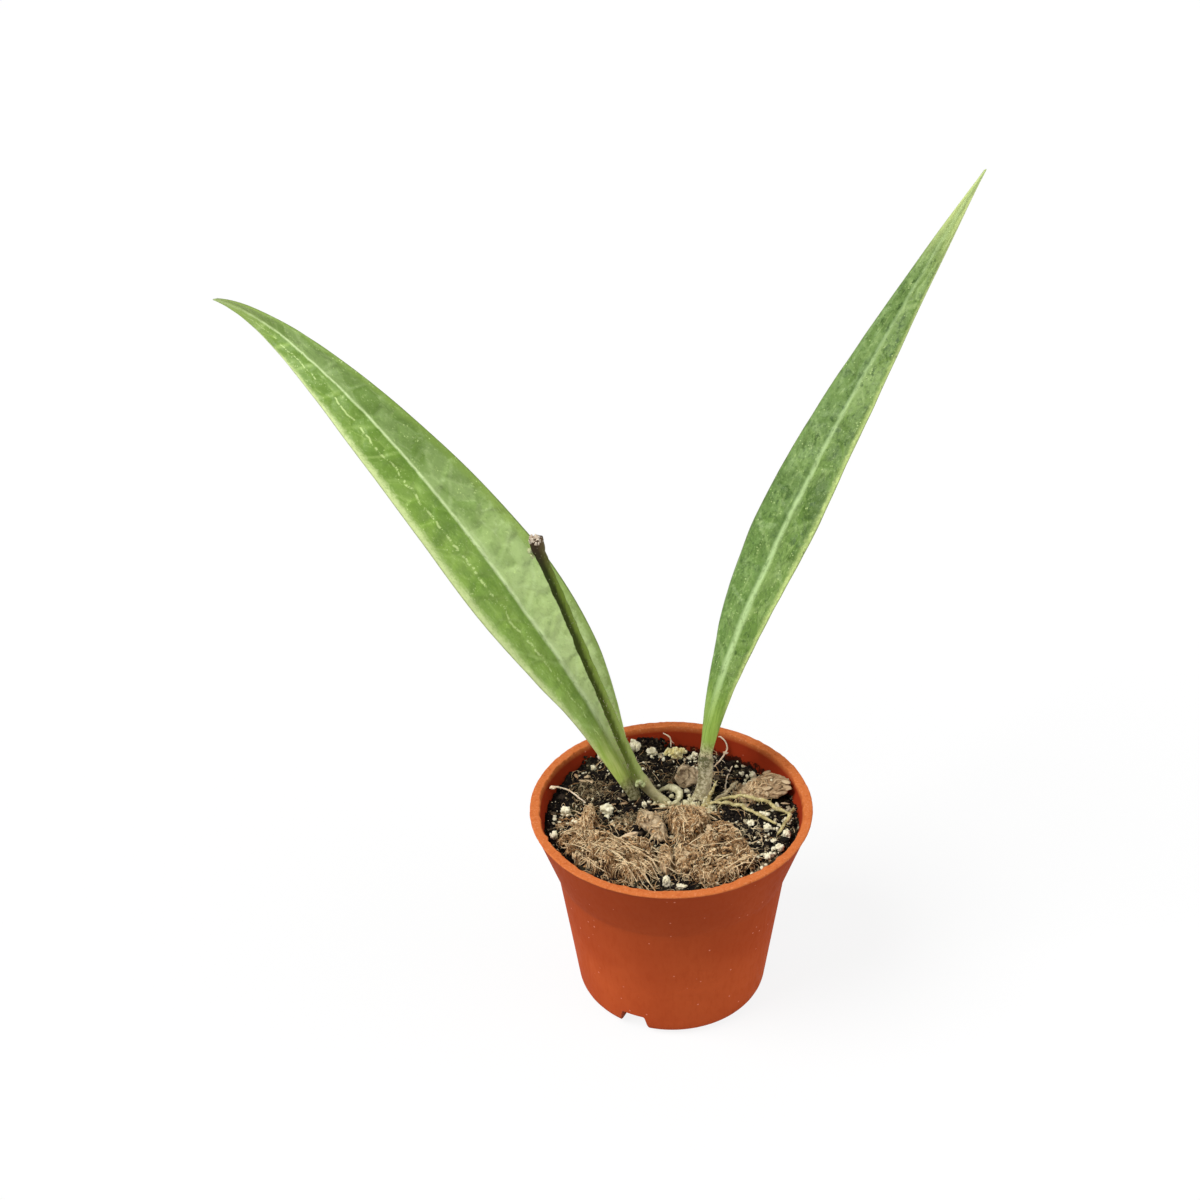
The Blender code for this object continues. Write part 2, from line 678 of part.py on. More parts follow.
def make_materials():
    return {
        "pot_plastic": material("pot_plastic", (0.48, 0.095, 0.028), 0.42),
        "peat": material("peat", (0.022, 0.014, 0.010), 0.95),
        "leaf": material("leaf", (0.16, 0.34, 0.07), 0.42),
        "stem": material("stem", (0.20, 0.24, 0.08), 0.6),
        "root": material("root", (0.62, 0.55, 0.28), 0.7),
        "rootlet": material("rootlet", (0.60, 0.45, 0.32), 0.7),
        "bark_grey": material("bark_grey", (0.20, 0.15, 0.115), 0.9),
        "bark_brown": material("bark_brown", (0.30, 0.19, 0.12), 0.9),
        "splinter": material("splinter", (0.55, 0.36, 0.20), 0.8),
        "coir": material("coir", (0.30, 0.19, 0.12), 0.95),
        "perlite": material("perlite", (0.80, 0.77, 0.68), 0.85),
        "perlite_yellow": material("perlite_yellow", (0.74, 0.62, 0.28), 0.85),
    }


def main():
    clear_scene()
    materials = make_materials()
    make_pot(materials["pot_plastic"])
    make_potting_mix(materials["peat"], [stem_pocket(), leaf_pocket("leaf_left")])
    make_vine_stem(materials["stem"])
    for name in LEAVES:
        make_leaf(name, materials["leaf"])
    for name in ROOTS:
        make_root(name, materials["rootlet" if name.startswith("rootlet") else "root"])
    for name in TUFTS:
        make_tuft(name, materials["coir"])
    for name in CHIPS:
        make_chip(name, materials)
    make_perlite(materials)
    plant = bpy.data.objects.new("potted_hoya", None)
    bpy.context.scene.collection.objects.link(plant)
    for obj in bpy.data.objects:
        if obj.type == "MESH":
            obj.parent = plant


main()
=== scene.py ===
from functools import cache
from math import atan2, cos, degrees, dist, hypot, pi, radians, sin, sqrt, tan

import bmesh
import bpy
import numpy as np
from mathutils import Matrix, Vector
from mathutils.bvhtree import BVHTree


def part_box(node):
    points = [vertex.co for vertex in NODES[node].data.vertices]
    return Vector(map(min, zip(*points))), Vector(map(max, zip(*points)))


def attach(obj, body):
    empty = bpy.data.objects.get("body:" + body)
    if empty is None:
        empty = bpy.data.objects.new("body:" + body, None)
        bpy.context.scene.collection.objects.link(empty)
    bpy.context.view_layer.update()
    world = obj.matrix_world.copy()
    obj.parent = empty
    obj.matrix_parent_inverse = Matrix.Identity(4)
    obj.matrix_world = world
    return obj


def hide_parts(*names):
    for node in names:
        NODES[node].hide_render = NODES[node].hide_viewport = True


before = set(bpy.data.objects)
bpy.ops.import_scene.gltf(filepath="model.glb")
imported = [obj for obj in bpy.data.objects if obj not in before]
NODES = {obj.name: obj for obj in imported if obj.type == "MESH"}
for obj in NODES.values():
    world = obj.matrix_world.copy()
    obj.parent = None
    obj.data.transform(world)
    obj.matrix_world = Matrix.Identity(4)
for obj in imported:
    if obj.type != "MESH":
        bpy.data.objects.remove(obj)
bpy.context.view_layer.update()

MM = 0.001
TURN = 2 * pi
# loose bits are turned by up to this much
ANY_TURN = 6.28

# ---- sizes, in millimetres, as the solids have them ----

POT_HEIGHT = 47.0
RIM_RADIUS = 30.0
LIP_WIDTH = 2.0
LIP_THICKNESS = 0.6
COLLAR_HEIGHT = 15.0
COLLAR_FOOT = 24.9
COLLAR_STEP = 0.3
BASE_RADIUS = 20.2
BASE_FILLET = 3.0
WALL = 0.9
FLOOR = 1.0
RECESS_ANGLES = (-114, 6, 126)
RECESS_HEIGHT = 4.7
RECESS_FOOT = 7.2
RECESS_ROOF = 5.4
RECESS_REACH = 14.6
RECESS_WALL = 0.8
SOIL_LEVEL = 42.0
# how far out and how high the loose bits on the mix may lie
CRUMB_REACH = 26.9
GRIT_REACH = 26.4
FIBRE_REACH = 26.5
FIBRE_TOP = 46.5
CROWN_TOP = 46.8
TUFT_TOP = 46.9
POT_SEGMENTS = 256
SHARP_ANGLE = 38

SHOULDER = POT_HEIGHT - COLLAR_HEIGHT
LIP_INSIDE = RIM_RADIUS - LIP_WIDTH
# radius and height of the pot's inside, from the floor up
CAVITY = [
    (BASE_RADIUS - 3.1, FLOOR), (BASE_RADIUS - 1.4, FLOOR + 0.7), (BASE_RADIUS - 0.5, FLOOR + 3.0),
    (COLLAR_FOOT - WALL, SHOULDER), (LIP_INSIDE - 1.5, POT_HEIGHT - 6.0),
    (LIP_INSIDE - 0.3, POT_HEIGHT - 1.5), (LIP_INSIDE, POT_HEIGHT - 0.25),
]

LEAF_STATIONS, LEAF_COLUMNS = 350, 49
VEIN_STEP = 8.8
# thickness along the rib and at the rim, of the stalk and then of the blade
RIB_THICK = (2.3, 1.1)
RIM_THICK = (0.8, 0.42)
LEAVES = {
    "leaf_left": {
        "base": (-7.3, 8, 41.6), "length": 155.7, "heading": (181, 129.5),
        "climb": (73, 59.5, 49, 26.5, -13.5), "roll": (-40, -44, -84), "fold": 25,
        "half_width": (1.3, 5, 9.2, 11, 9.9, 7.9, 5.5, 2.7, 0.15), "seed": 11,
        "foot": 0.5, "sunk": 7, "quilt": 2.6,
    },
    "leaf_right": {
        "base": (7.5, 10, 51.9), "length": 138.4, "heading": (28, 46),
        "climb": (82.5, 65, 55.5, 48, 40), "roll": (8, 14, 44), "fold": 10,
        "half_width": (1.7, 3.9, 6.6, 7.7, 6.9, 5.4, 3.5, 1.9, 0.15), "seed": 23,
        "foot": 0.75, "sunk": 4, "quilt": 1.9,
    },
}

# Routes of the stem and the roots: x, y, z and radius.
STEM = [
    (-26.4, 5.4, 109.4, 1.45), (-26, 5.4, 107.2, 1.35), (-25.3, 5.4, 104.8, 1.05),
    (-22.5, 5.5, 96.7, 1), (-20.2, 5.6, 89.8, 1), (-17.1, 5.8, 79.9, 1.05),
    (-13.6, 6.1, 69.4, 1.05), (-10.2, 6.3, 58.8, 1.1), (-7.3, 6.5, 50.6, 1.2),
    (-6.3, 6.6, 48.4, 1.45), (-4.5, 6.5, 45.8, 1.2), (-1.6, 6.2, 42.6, 1.25),
    (2, 5.6, 40.3, 1.75), (5, 6.4, 41.6, 1.7), (6.5, 7.6, 43.8, 1.55), (7.2, 8.3, 45.8, 1.5),
    (7.5, 9, 48.2, 1.5), (7.5, 9.6, 50, 1.55), (7.5, 9.9, 51.3, 1.6), (7.55, 10, 52.6, 1.45),
]
BUDS = (
    (3, (-27.7, 4.9, 106.9), (1.1, 1.1, 1.5)), (8, (-27.2, 4.7, 105.9), (1, 0.9, 1.1)),
    (4, (-6.7, 5.2, 48.9), (1.7, 1.3, 1.3)), (5, (-5.9, 5.1, 48.2), (1.1, 1, 1.3)),
    (6, (-7.2, 5.2, 48.1), (0.9, 0.8, 1)),
)
ROOTS = {
    "aerial_root_lower": [
        (6.6, 4.3, 42.9, 0.85), (8, 3.9, 43.8, 0.8), (9.3, 4.1, 44.1, 0.5), (11.2, 4, 44.2, 0.42),
        (13.3, 3.7, 44, 0.45), (15.6, 2.8, 43.9, 0.45), (17.8, 1, 43.9, 0.48),
        (20, -0.9, 43.8, 0.46), (22.2, -2.6, 43.7, 0.3)],
    "aerial_root_upper": [
        (9.6, 4.7, 44.1, 0.4), (12.4, 5.4, 44.5, 0.4), (14.2, 5.3, 44.8, 0.45), (16.2, 4.8, 45, 0.52),
        (18.4, 3.6, 45.2, 0.5), (20.5, 3.2, 45.1, 0.5), (22.1, 1.5, 44.9, 0.46),
        (23.8, 0.5, 44.7, 0.4), (24.9, -0.1, 44.5, 0.22)],
    "aerial_root_side": [
        (26.1, 1.4, 44.7, 0.2), (25.2, -1.5, 45.3, 0.4), (24.4, -3.4, 44.9, 0.45),
        (23.4, -4.9, 44.3, 0.5), (22.2, -6.4, 43.8, 0.28)],
    "aerial_root_stub": [
        (7.9, 4.6, 44, 0.5), (8.6, 5.7, 45, 0.5), (9.1, 6.2, 46.3, 0.42), (10, 7.6, 47.4, 0.2)],
    "aerial_root_brown": [
        (9.6, 4.9, 43.9, 0.5), (10.8, 5.9, 44.2, 0.55), (12, 7.2, 44.6, 0.52), (13.2, 8.8, 44.8, 0.45),
        (14.4, 10.6, 44.7, 0.25)],
    "curled_root": [
        (-2.8, 8.9, 43.4, 0.3), (-1.4, 9.3, 44, 0.5), (0, 9.2, 44.4, 0.7), (1.2, 8.2, 44.5, 0.72),
        (1.9, 6.6, 44.3, 0.68), (1.7, 5.2, 44.1, 0.6), (0.9, 4.4, 43.9, 0.55), (0.2, 4.6, 43.5, 0.4)],
    "rootlet_wall": [
        (10.6, 24.6, 46.5, 0.1), (11.2, 24.3, 46.6, 0.17), (12.3, 23.8, 45.4, 0.23),
        (12.6, 23.3, 44.2, 0.28), (12.2, 22.6, 43.6, 0.5), (11.2, 21, 43.1, 0.24), (9.5, 18.2, 43, 0.12)],
    "rootlet_back": [
        (-1.6, 26.5, 46.2, 0.08), (-0.4, 26.2, 45.4, 0.16), (0, 25.8, 44.3, 0.18), (0.1, 25.4, 43.1, 0.14)],
    "rootlet_pale": [
        (13.6, 19.3, 42.4, 0.1), (12.6, 15, 42.9, 0.2), (12, 12, 43, 0.22), (11.6, 9, 42.6, 0.16)],
    "rootlet_left": [
        (-26.1, 7.5, 45.5, 0.3), (-25.4, 7.7, 45.5, 0.62), (-24.5, 7.9, 45.6, 0.35), (-23.2, 7.9, 45.1, 0.2),
        (-21.5, 7.7, 44.4, 0.2), (-20, 6.8, 43.8, 0.19), (-18.3, 5.2, 43.3, 0.1)],
}

# ---- numbers ----


def blend(values, t):
    """Smooth curve through evenly spaced values, at each t from 0 to 1."""
    v = np.asarray(values, float)
    v = np.concatenate([[2 * v[0] - v[1]], v, [2 * v[-1] - v[-2]]])
    spans = len(v) - 3
    x = np.clip(np.asarray(t, float), 0, 1) * spans
    i = np.minimum(x.astype(int), spans - 1)
    f = x - i
    a, b, c, d = v[i], v[i + 1], v[i + 2], v[i + 3]
    return b + 0.5 * f * (c - a + f * (2 * a - 5 * b + 4 * c - d + f * (3 * (b - c) + d - a)))


def smoothstep(low, high, x):
    t = np.clip((x - low) / (high - low), 0, 1)
    return t * t * (3 - 2 * t)


def hashed(cell, seed):
    """A number from 0 to 1 for each integer cell (rows of 3)."""
    with np.errstate(over="ignore"):
        c = cell.astype(np.int64).astype(np.uint32)
        h = c[..., 0] * np.uint32(0x8DA6B343) ^ c[..., 1] * np.uint32(0xD8163841)
        h = h ^ c[..., 2] * np.uint32(0xCB1AB31F) ^ np.uint32(seed * 7919 + 13)
        for shift, factor in ((15, 0x2C1B3C6D), (12, 0x297A2D39)):
            h = (h ^ (h >> np.uint32(shift))) * np.uint32(factor)
        h = h ^ (h >> np.uint32(15))
    return h / 4294967295.0


def noise(points, seed=0):
    """Smooth noise from -1 to 1, with features one unit across."""
    p = np.atleast_2d(np.asarray(points, float))
    cell = np.floor(p)
    f = p - cell
    f = f * f * (3 - 2 * f)
    total = 0
    for corner in np.ndindex(2, 2, 2):
        weight = np.prod(np.where(corner, f, 1 - f), -1)
        total = total + weight * hashed(cell + corner, seed)
    return total * 2 - 1


def fbm(points, octaves=3, seed=0):
    """Layers of noise, each twice as fine and half as strong as the last."""
    p = np.atleast_2d(np.asarray(points, float))
    return sum(noise(p * 2**k, seed + k) * 0.5**k for k in range(octaves))


def flat3(x, y, z=0.0):
    """Rows of three from two arrays and a number."""
    x, y = np.broadcast_arrays(np.asarray(x, float), np.asarray(y, float))
    return np.stack([x.ravel(), y.ravel(), np.full(x.size, float(z))], -1)


def cells(x, y, seed, wander=0.9):
    """Cellular noise in the plane: distances to the nearest two points, the nearest's own number
    and the way from it."""
    p = flat3(x, y)
    cell = np.floor(p)
    first, second = np.full((2, len(p)), 9.0)
    number = np.zeros(len(p))
    away = np.zeros((2, len(p)))
    for dx, dy in np.ndindex(3, 3):
        c = cell + (dx - 1, dy - 1, 0)
        ax = c[:, 0] + 0.5 + wander * (hashed(c, seed) - 0.5)
        ay = c[:, 1] + 0.5 + wander * (hashed(c, seed + 1) - 0.5)
        d = np.hypot(ax - p[:, 0], ay - p[:, 1])
        nearer = d < first
        second = np.where(nearer, first, np.minimum(second, d))
        number = np.where(nearer, hashed(c, seed + 2), number)
        away = np.where(nearer, np.stack([p[:, 0] - ax, p[:, 1] - ay]), away)
        first = np.where(nearer, d, first)
    return first, second, number, away


def around(turn, radius=1.0):
    """A point of a circle."""
    return radius * cos(turn), radius * sin(turn)


def soil_height(x, y):
    """The mix without its crumbs: a millimetre higher at the front, and heaped up at the back left."""
    lumps = np.sin(0.61 * x + 0.4) * np.cos(0.53 * y - 0.7) + 0.6 * np.sin(0.93 * y + 0.35 * x + 1.9)
    heap = 1.3 * np.exp(-((x + 14) ** 2 + (y - 18) ** 2) / 110)
    return SOIL_LEVEL + smoothstep(2.0, -8.0, y) + heap + 0.248 * lumps


# ---- materials ----


def rgb(code):
    """A colour given as it shows, #rrggbb, as the renderer's linear values."""
    shown = [int(code[k:k + 2], 16) / 255 for k in (1, 3, 5)]
    return (*(c / 12.92 if c <= 0.04045 else ((c + 0.055) / 1.055) ** 2.4 for c in shown), 1.0)


class Value:
    """What a shader node gives, open to plain arithmetic."""

    def __init__(self, paint, socket):
        self.paint, self.socket = paint, socket

    def __add__(self, other):
        return self.paint.math("ADD", self, other)

    def __sub__(self, other):
        return self.paint.math("SUBTRACT", self, other)

    def __mul__(self, other):
        return self.paint.math("MULTIPLY", self, other)

    def __truediv__(self, other):
        return self.paint.math("DIVIDE", self, other)

    def __abs__(self):
        return self.paint.math("ABSOLUTE", self)


class Paint:
    """Builds one node material, coat by coat."""

    def __init__(self, name, roughness, specular):
        self.mat = bpy.data.materials.new(name)
        self.mat.use_nodes = True
        self.tree = self.mat.node_tree
        self.set(Roughness=roughness, Specular_IOR_Level=specular)

    def set(self, **values):
        for key, value in values.items():
            self.fill(self.tree.nodes["Principled BSDF"].inputs[key.replace("_", " ")], value)

    def fill(self, socket, value):
        if isinstance(value, Value):
            self.tree.links.new(value.socket, socket)
        elif value is not None:
            socket.default_value = rgb(value) if isinstance(value, str) else value

    def node(self, kind, *inputs, out=0, **settings):
        n = self.tree.nodes.new("ShaderNode" + kind)
        for key, value in settings.items():
            if hasattr(n, key):
                setattr(n, key, value)
            else:
                self.fill(n.inputs[key], value)
        for socket, value in zip(n.inputs, inputs):
            self.fill(socket, value)
        return Value(self, n.outputs[out])

    def place(self, *scale):
        """Object coordinates in millimetres, stretched by scale."""
        return self.stretch(self.node("TexCoord", out=3), [1000 * s for s in scale or (1, 1, 1)])

    def attribute(self, name, out=2):
        return self.node("Attribute", attribute_name=name, out=out)

    def channels(self, name):
        """The three numbers of a mesh attribute."""
        split = self.node("SeparateXYZ", self.attribute(name, 1)).socket.node
        return [Value(self, socket) for socket in split.outputs]

    def stretch(self, vector, scale):
        return self.node("VectorMath", vector, scale, operation="MULTIPLY")

    def noise(self, vector, scale, detail=3.0, roughness=0.55):
        return self.node("TexNoise", Vector=vector, Scale=scale, Detail=detail, Roughness=roughness)

    def cell(self, vector, scale):
        return self.node("TexVoronoi", Vector=vector, Scale=scale)

    def math(self, operation, a, b=None):
        return self.node("Math", a, b, operation=operation)

    def most(self, a, b):
        return self.math("MAXIMUM", a, b)

    def step(self, value, low, high, to_low=0.0, to_high=1.0):
        return self.node("MapRange", value, low, high, to_low, to_high, interpolation_type="SMOOTHSTEP")

    def mix(self, amount, a, b):
        n = self.tree.nodes.new("ShaderNodeMix")
        n.data_type = "RGBA"
        for socket, value in ((0, amount), (6, a), (7, b)):
            self.fill(n.inputs[socket], value)
        return Value(self, n.outputs[2])

    def ramp(self, value, *stops):
        n = self.tree.nodes.new("ShaderNodeValToRGB")
        while len(n.color_ramp.elements) < len(stops):
            n.color_ramp.elements.new(0.5)
        for element, (position, colour) in zip(n.color_ramp.elements, stops):
            element.position, element.color = position, rgb(colour)
        self.fill(n.inputs[0], value)
        return Value(self, n.outputs[0])

    def coat(self, amount, colour):
        self.colour = self.mix(amount, self.colour, colour)

    def bump(self, height, depth_mm, normal=None):
        return self.node("Bump", Distance=depth_mm * MM, Height=height, Normal=normal)

    def finish(self, normal, roughness=None):
        self.set(Base_Color=self.colour, Normal=normal, Roughness=roughness)
        return self.mat


def pot_material():
    """The mesh says where a point lies: 'part' holds lip, inside and height."""
    p = Paint("pot_plastic", 0.6, 0.015)
    mm = p.place()
    speckle = p.noise(p.place(1, 1, 0.25), 1.2, 4, 0.6)
    lip, inner, height = p.channels("part")
    p.colour = p.mix(p.step(p.noise(mm, 0.06), 0.3, 0.7), "#b44d27", "#c0572d")
    p.coat(p.step(speckle, 0.45, 0.75, 0, 0.2), "#a03c1a")
    # painted shade: the wall darkens towards the collar and lip, standing in for the shade under the lip's
    # overhang
    p.coat(p.step(height, 0.2, 0.85, 0, 0.55), "#8e381c")
    # painted shade: the whole inside of the wall is darker, standing in for the shade within the pot
    p.coat(inner * 0.9, "#963018")
    p.coat(lip * 0.8, "#d47840")
    p.coat(p.step(p.noise(mm, 2.2), 0.5, 0.8) * lip * 0.5, "#e8a076")
    p.coat(p.step(p.noise(mm, 0.9, 4, 0.65), 0.52, 0.66) * lip * 0.45, "#b04c24")
    # peat rubbed on the wall just above the mix
    near = (height - 0.92) * -7
    p.coat(p.step(p.noise(mm, 0.6, 5, 0.7) + near, 0.6, 0.7) * inner * 0.9, "#22140f")
    dust = p.step(p.cell(mm, 0.4), 0.10, 0.06) * p.step(p.noise(mm, 0.13, 1), 0.42, 0.54)
    p.coat(dust * 0.7, "#e8967e")
    rings = p.bump(p.noise(p.place(0.02, 0.02, 1), 0.9, 2), 0.05)
    return p.finish(p.bump(p.noise(mm, 3, 2), 0.012, rings), p.step(speckle, 0.3, 0.7, 0.55, 0.68))


# Each side of a leaf: upper, base, deep, pale, lower and margin colour, then where the margin starts
# and how strong it is. The two sets also hold painted light and shade: on the left leaf the second side,
# the lit half of the fold, is painted paler, most of all low down, and the first side darker as its shaded
# half.
# Broken is how mottled the blade is, scurf how far the grey foot reaches.
LEAF_LOOKS = {
    "leaf_left": {
        "name": "leaf_green", "broken": 0.2, "scurf": 8, "under": "#9cb874", "tip": "#889c50",
        "sides": (
            ("#729339", "#88a944", "#62872a", "#acca6e", "#92b44e", "#d4e49e", 0.76, 0.95),
            ("#6a883a", "#90b05a", "#72963c", "#cae09e", "#cae096", "#8ca848", 0.74, 0.75)),
        "rib": "#def2b4", "rib_width": 1, "stalk": ("#bede5a", "#e6f694"), "foot": ("#686042", "#beb692"),
    },
    "leaf_right": {
        "name": "leaf_mottled", "broken": 1, "scurf": 4.5, "under": "#92ac6e", "tip": "#cedc8c",
        "sides": (
            ("#72914a", "#719047", "#486626", "#96b26a", "#6a8c40", "#889664", 0.93, 0.6),
            ("#6c8a3e", "#648438", "#3c581c", "#98b268", "#648434", "#cade88", 0.80, 1)),
        "rib": "#bad694", "rib_width": 1.15, "stalk": ("#70922e", "#9ab852"), "foot": ("#706246", "#ded0ae"),
    },
}


def leaf_material(look):
    """Waxy blade. The mesh says where each point lies: 'blade' holds the distance along and
    across in millimetres and the share of the half width, 'where' the share of the length, whether
    it is the underside and the pillow's number, 'relief' the distances from the nearest side vein
    and small vein and the side vein's strength."""
    p = Paint(look["name"], 0.45, 0.3)
    blade = p.attribute("blade", 1)
    along, across, share = p.channels("blade")
    length, below, facet = p.channels("where")
    gap, edge, keep = p.channels("relief")
    broken, rib_width, scurf = (look[key] for key in ("broken", "rib_width", "scurf"))

    def flat(x=1, y=1):
        return p.stretch(blade, (x, y, 0))

    clouds = p.noise(flat(0.6), 0.2, 4, 0.6)
    mottle = p.noise(flat(0.8), 0.5, 5, 0.75)
    fine = p.noise(flat(1, 1.4), 1.1, 4, 0.7)
    leafy = p.step(length, 0.06, 0.14)
    inland = leafy * p.step(share, 0.98, 0.72)
    net = p.step(edge, 0.13, 0) * p.step(clouds, 0.4, 0.6, 0.15, 0.7)
    veins = inland * p.most(p.step(gap, 0.95, 0.05) * keep, net)
    spread = share + (mottle - 0.5) * 0.18 + (fine - 0.5) * 0.3
    near = p.step(share, 0.34, 0.02)
    colours = []
    # one colour set for each half of the fold; on the left leaf their difference is partly painted light, the
    # second half painted as the lit one and the first as the shaded one
    for colour, tint in zip(look["sides"], (0.15, 0.3)):
        upper, base, deep, pale, lower, margin, start, strength = colour
        p.colour = p.mix(p.step(clouds, 0.38, 0.62), deep, base)
        p.coat(p.step(length, 0.4, 0.62, 0, 0.85), upper)
        p.coat(p.step(length, 0.62, 0.22) * 0.85, lower)
        p.coat(p.step(mottle, 0.5, 0.64, 0, 0.25 + 0.6 * broken), deep)
        p.coat(p.step(mottle, 0.46, 0.3, 0, 0.5), pale)
        p.coat(p.step(facet, 0.3, 1, 0, tint) * inland, pale)
        p.coat(veins * 0.62, pale)
        p.coat(p.step(spread, start, start + 0.2, 0, strength), margin)
        # beside the raised rib the first half is darkened and the second paled: painted shade and painted
        # highlight on the rib's two flanks
        if not colours:
            p.coat(near * 0.5, deep)
        else:
            p.coat(near * 0.32, pale)
            p.coat(p.step(length, 0.46, 0.6, 0, 0.55 * (1 - broken)), upper)
        colours.append(p.colour)
    side = p.step(across, -0.3, 0.3)
    p.colour = p.mix(side, colours[1], colours[0])
    dark = p.step(fine, 0.52, 0.64) * p.step(p.noise(flat(), 0.33, 2), 0.4, 0.56)
    p.coat(dark * leafy * (0.6 * broken), "#3c5a1e")
    blotch = p.step(p.noise(flat(0.8), 0.85, 3, 0.65), 0.54, 0.62)
    blotch = blotch * p.step(p.noise(flat(0.7), 0.16, 2), 0.44, 0.56) * p.step(length, 0.2, 0.45)
    p.coat(blotch * inland * (0.85 * broken), "#3e5c20")
    p.coat(p.step(fine, 0.45, 0.3) * 0.45, "#aac676")
    # a broken pale line half way out, streaks along the blade and clusters of pale specks
    wander = (p.noise(flat(1, 0), 0.2) - 0.5) * 0.4
    dash = p.step(abs(share + wander - 0.44), 0.04, 0.01, 0, 1.2 - broken) * side
    dash = dash * p.step(p.noise(flat(0.7, 0.3), 0.8, 4, 0.75), 0.47, 0.53)
    streaks = p.step(p.noise(flat(0.5, 2.4), 1, 3, 0.6), 0.63, 0.71)
    speck = p.step(p.cell(flat(), 1.25), 0.24, 0.1) * p.step(p.noise(flat(0.7, 1.4), 0.35, 2), 0.48, 0.6)
    p.coat(p.most(dash, p.most(speck * 0.8, streaks * 0.4)) * leafy * 0.8, "#d0e696")
    width = p.step(length, 0.1, 0.9, rib_width, rib_width * 0.4)
    rib = p.step(abs(across + wander * 0.9) / width, 1.3, 0.3) * p.step(mottle, 0.64, 0.5, 0.4, 1)
    p.coat(rib * p.step(length, 0.85, 0.3, 1 - 0.6 * broken, 1) * 0.85, look["rib"])
    tip = p.step(length, 0.80, 0.95, 0, 0.85) * p.step(share, 0.2, 0.8, 1 - 0.55 * broken, 1)
    p.coat(tip, look["tip"])
    streak = p.noise(p.stretch(blade, (0.1, 1.6, 1)), 1, 2)
    p.coat(p.step(length, 0.17, 0.05, 0, 0.92), p.mix(p.step(streak, 0.3, 0.7), *look["stalk"]))
    p.coat(below * 0.6, look["under"])
    foot = p.step(along + fine * 3, scurf + 2.6, scurf - 2.6)
    p.coat(foot * 0.92, p.mix(p.step(fine, 0.42, 0.58), *look["foot"]))
    p.coat(p.step(share, 0.968, 0.997) * p.step(length, 0.1, 0.2) * 0.45, "#78844e")
    waves = p.bump(mottle * leafy, 0.16 + 0.1 * broken, p.bump(fine, 0.12))
    return p.finish(waves, p.step(fine, 0.3, 0.8, 0.36, 0.55))


def stem_material():
    """Bark of the stem. 'run' holds the share of the length from the dry end to the right leaf,
    and how far a point faces right."""
    p = Paint("stem_bark", 0.6, 0.12)
    mm = p.place()
    along, side, _ = p.channels("run")
    shaded = p.ramp(along, (0, "#3c2c1e"), (0.04, "#322c16"), (0.09, "#2c360c"), (0.40, "#3a4612"),
        (0.58, "#546422"), (0.67, "#6e7e38"), (0.72, "#807a54"), (0.79, "#9a9468"), (0.88, "#a89e7a"),
        (0.94, "#8c8462"), (1, "#606242"))
    lit = p.ramp(along, (0, "#604e3a"), (0.05, "#5a5a28"), (0.12, "#70862e"), (0.40, "#869e42"),
        (0.58, "#9eb25e"), (0.67, "#a8ba6c"), (0.72, "#b6ae80"), (0.79, "#cac496"), (0.88, "#d6caa8"),
        (0.94, "#c4ba94"), (1, "#8c8c68"))
    streak = p.noise(p.place(1.5, 1.5, 0.25), 1, 4, 0.6)
    p.colour = p.mix(p.step(side + (streak - 0.5), -0.15, 0.85), shaded, lit)
    p.coat(p.step(streak, 0.55, 0.75) * 0.35, "#3a3822")
    crown = p.step(along, 0.7, 0.84) * 0.6
    felt = p.noise(mm, 1.2, 4, 0.7)
    p.coat(p.step(felt, 0.49, 0.6) * crown, "#e6dcba")
    p.coat(p.step(felt, 0.47, 0.36) * crown, "#605038")
    p.coat(p.step(p.cell(mm, 1.5), 0.2, 0.1) * 0.4, "#bab896")
    return p.finish(p.bump(streak, 0.12, p.bump(p.noise(mm, 3.5), 0.05)))


def soil_material():
    p = Paint("peat", 0.95, 0.15)
    mm = p.place()
    fine = p.noise(mm, 2, 4, 0.7)
    p.colour = p.ramp(p.attribute("tone"), (0, "#100b0a"), (0.5, "#221a16"), (0.70, "#544636"),
        (0.84, "#968466"), (0.96, "#cec0a0"))
    # tan on the rises of the fine bump, partly the peat's own paler crumbs and partly painted light on the
    # tops; near-black in its hollows, painted shade
    p.coat(p.step(fine, 0.57, 0.7, 0, 0.6), "#786a52")
    p.coat(p.step(fine, 0.5, 0.38, 0, 0.85), "#0c0808")
    p.coat(p.step(p.noise(mm, 0.25), 0.52, 0.68, 0, 0.22), "#706a48")
    return p.finish(p.bump(fine, 0.3, p.bump(p.noise(mm, 6), 0.1)))


def fibre_material(name, dark, mid, light, *stretch):
    """Coir and bark: fibrous, with its own tone for each strand."""
    p = Paint(name, 0.85, 0.15)
    rough = p.noise(p.place(*stretch), 1, 5, 0.65)
    fine = p.noise(p.place(), 4.5, 3, 0.6)
    p.colour = p.ramp(p.attribute("tone") + (rough - 0.5) * 1.1, (0.12, dark), (0.5, mid), (0.88, light))
    p.coat(p.step(fine, 0.5, 0.72, 0, 0.35), dark)
    return p.finish(p.bump(fine, 0.15, p.bump(rough, 0.3)))


def root_material(name, dark, light):
    p = Paint(name, 0.6, 0.3)
    mm = p.place()
    fine = p.noise(mm, 4)
    p.colour = p.ramp(p.noise(mm, 0.7, 4, 0.6), (0.32, dark), (0.62, light))
    p.coat(p.step(fine, 0.5, 0.72) * 0.5, "#74623a")
    p.coat(p.step(p.noise(mm, 1.9), 0.56, 0.66, 0, 0.5), "#f4eece")
    return p.finish(p.bump(fine, 0.15))


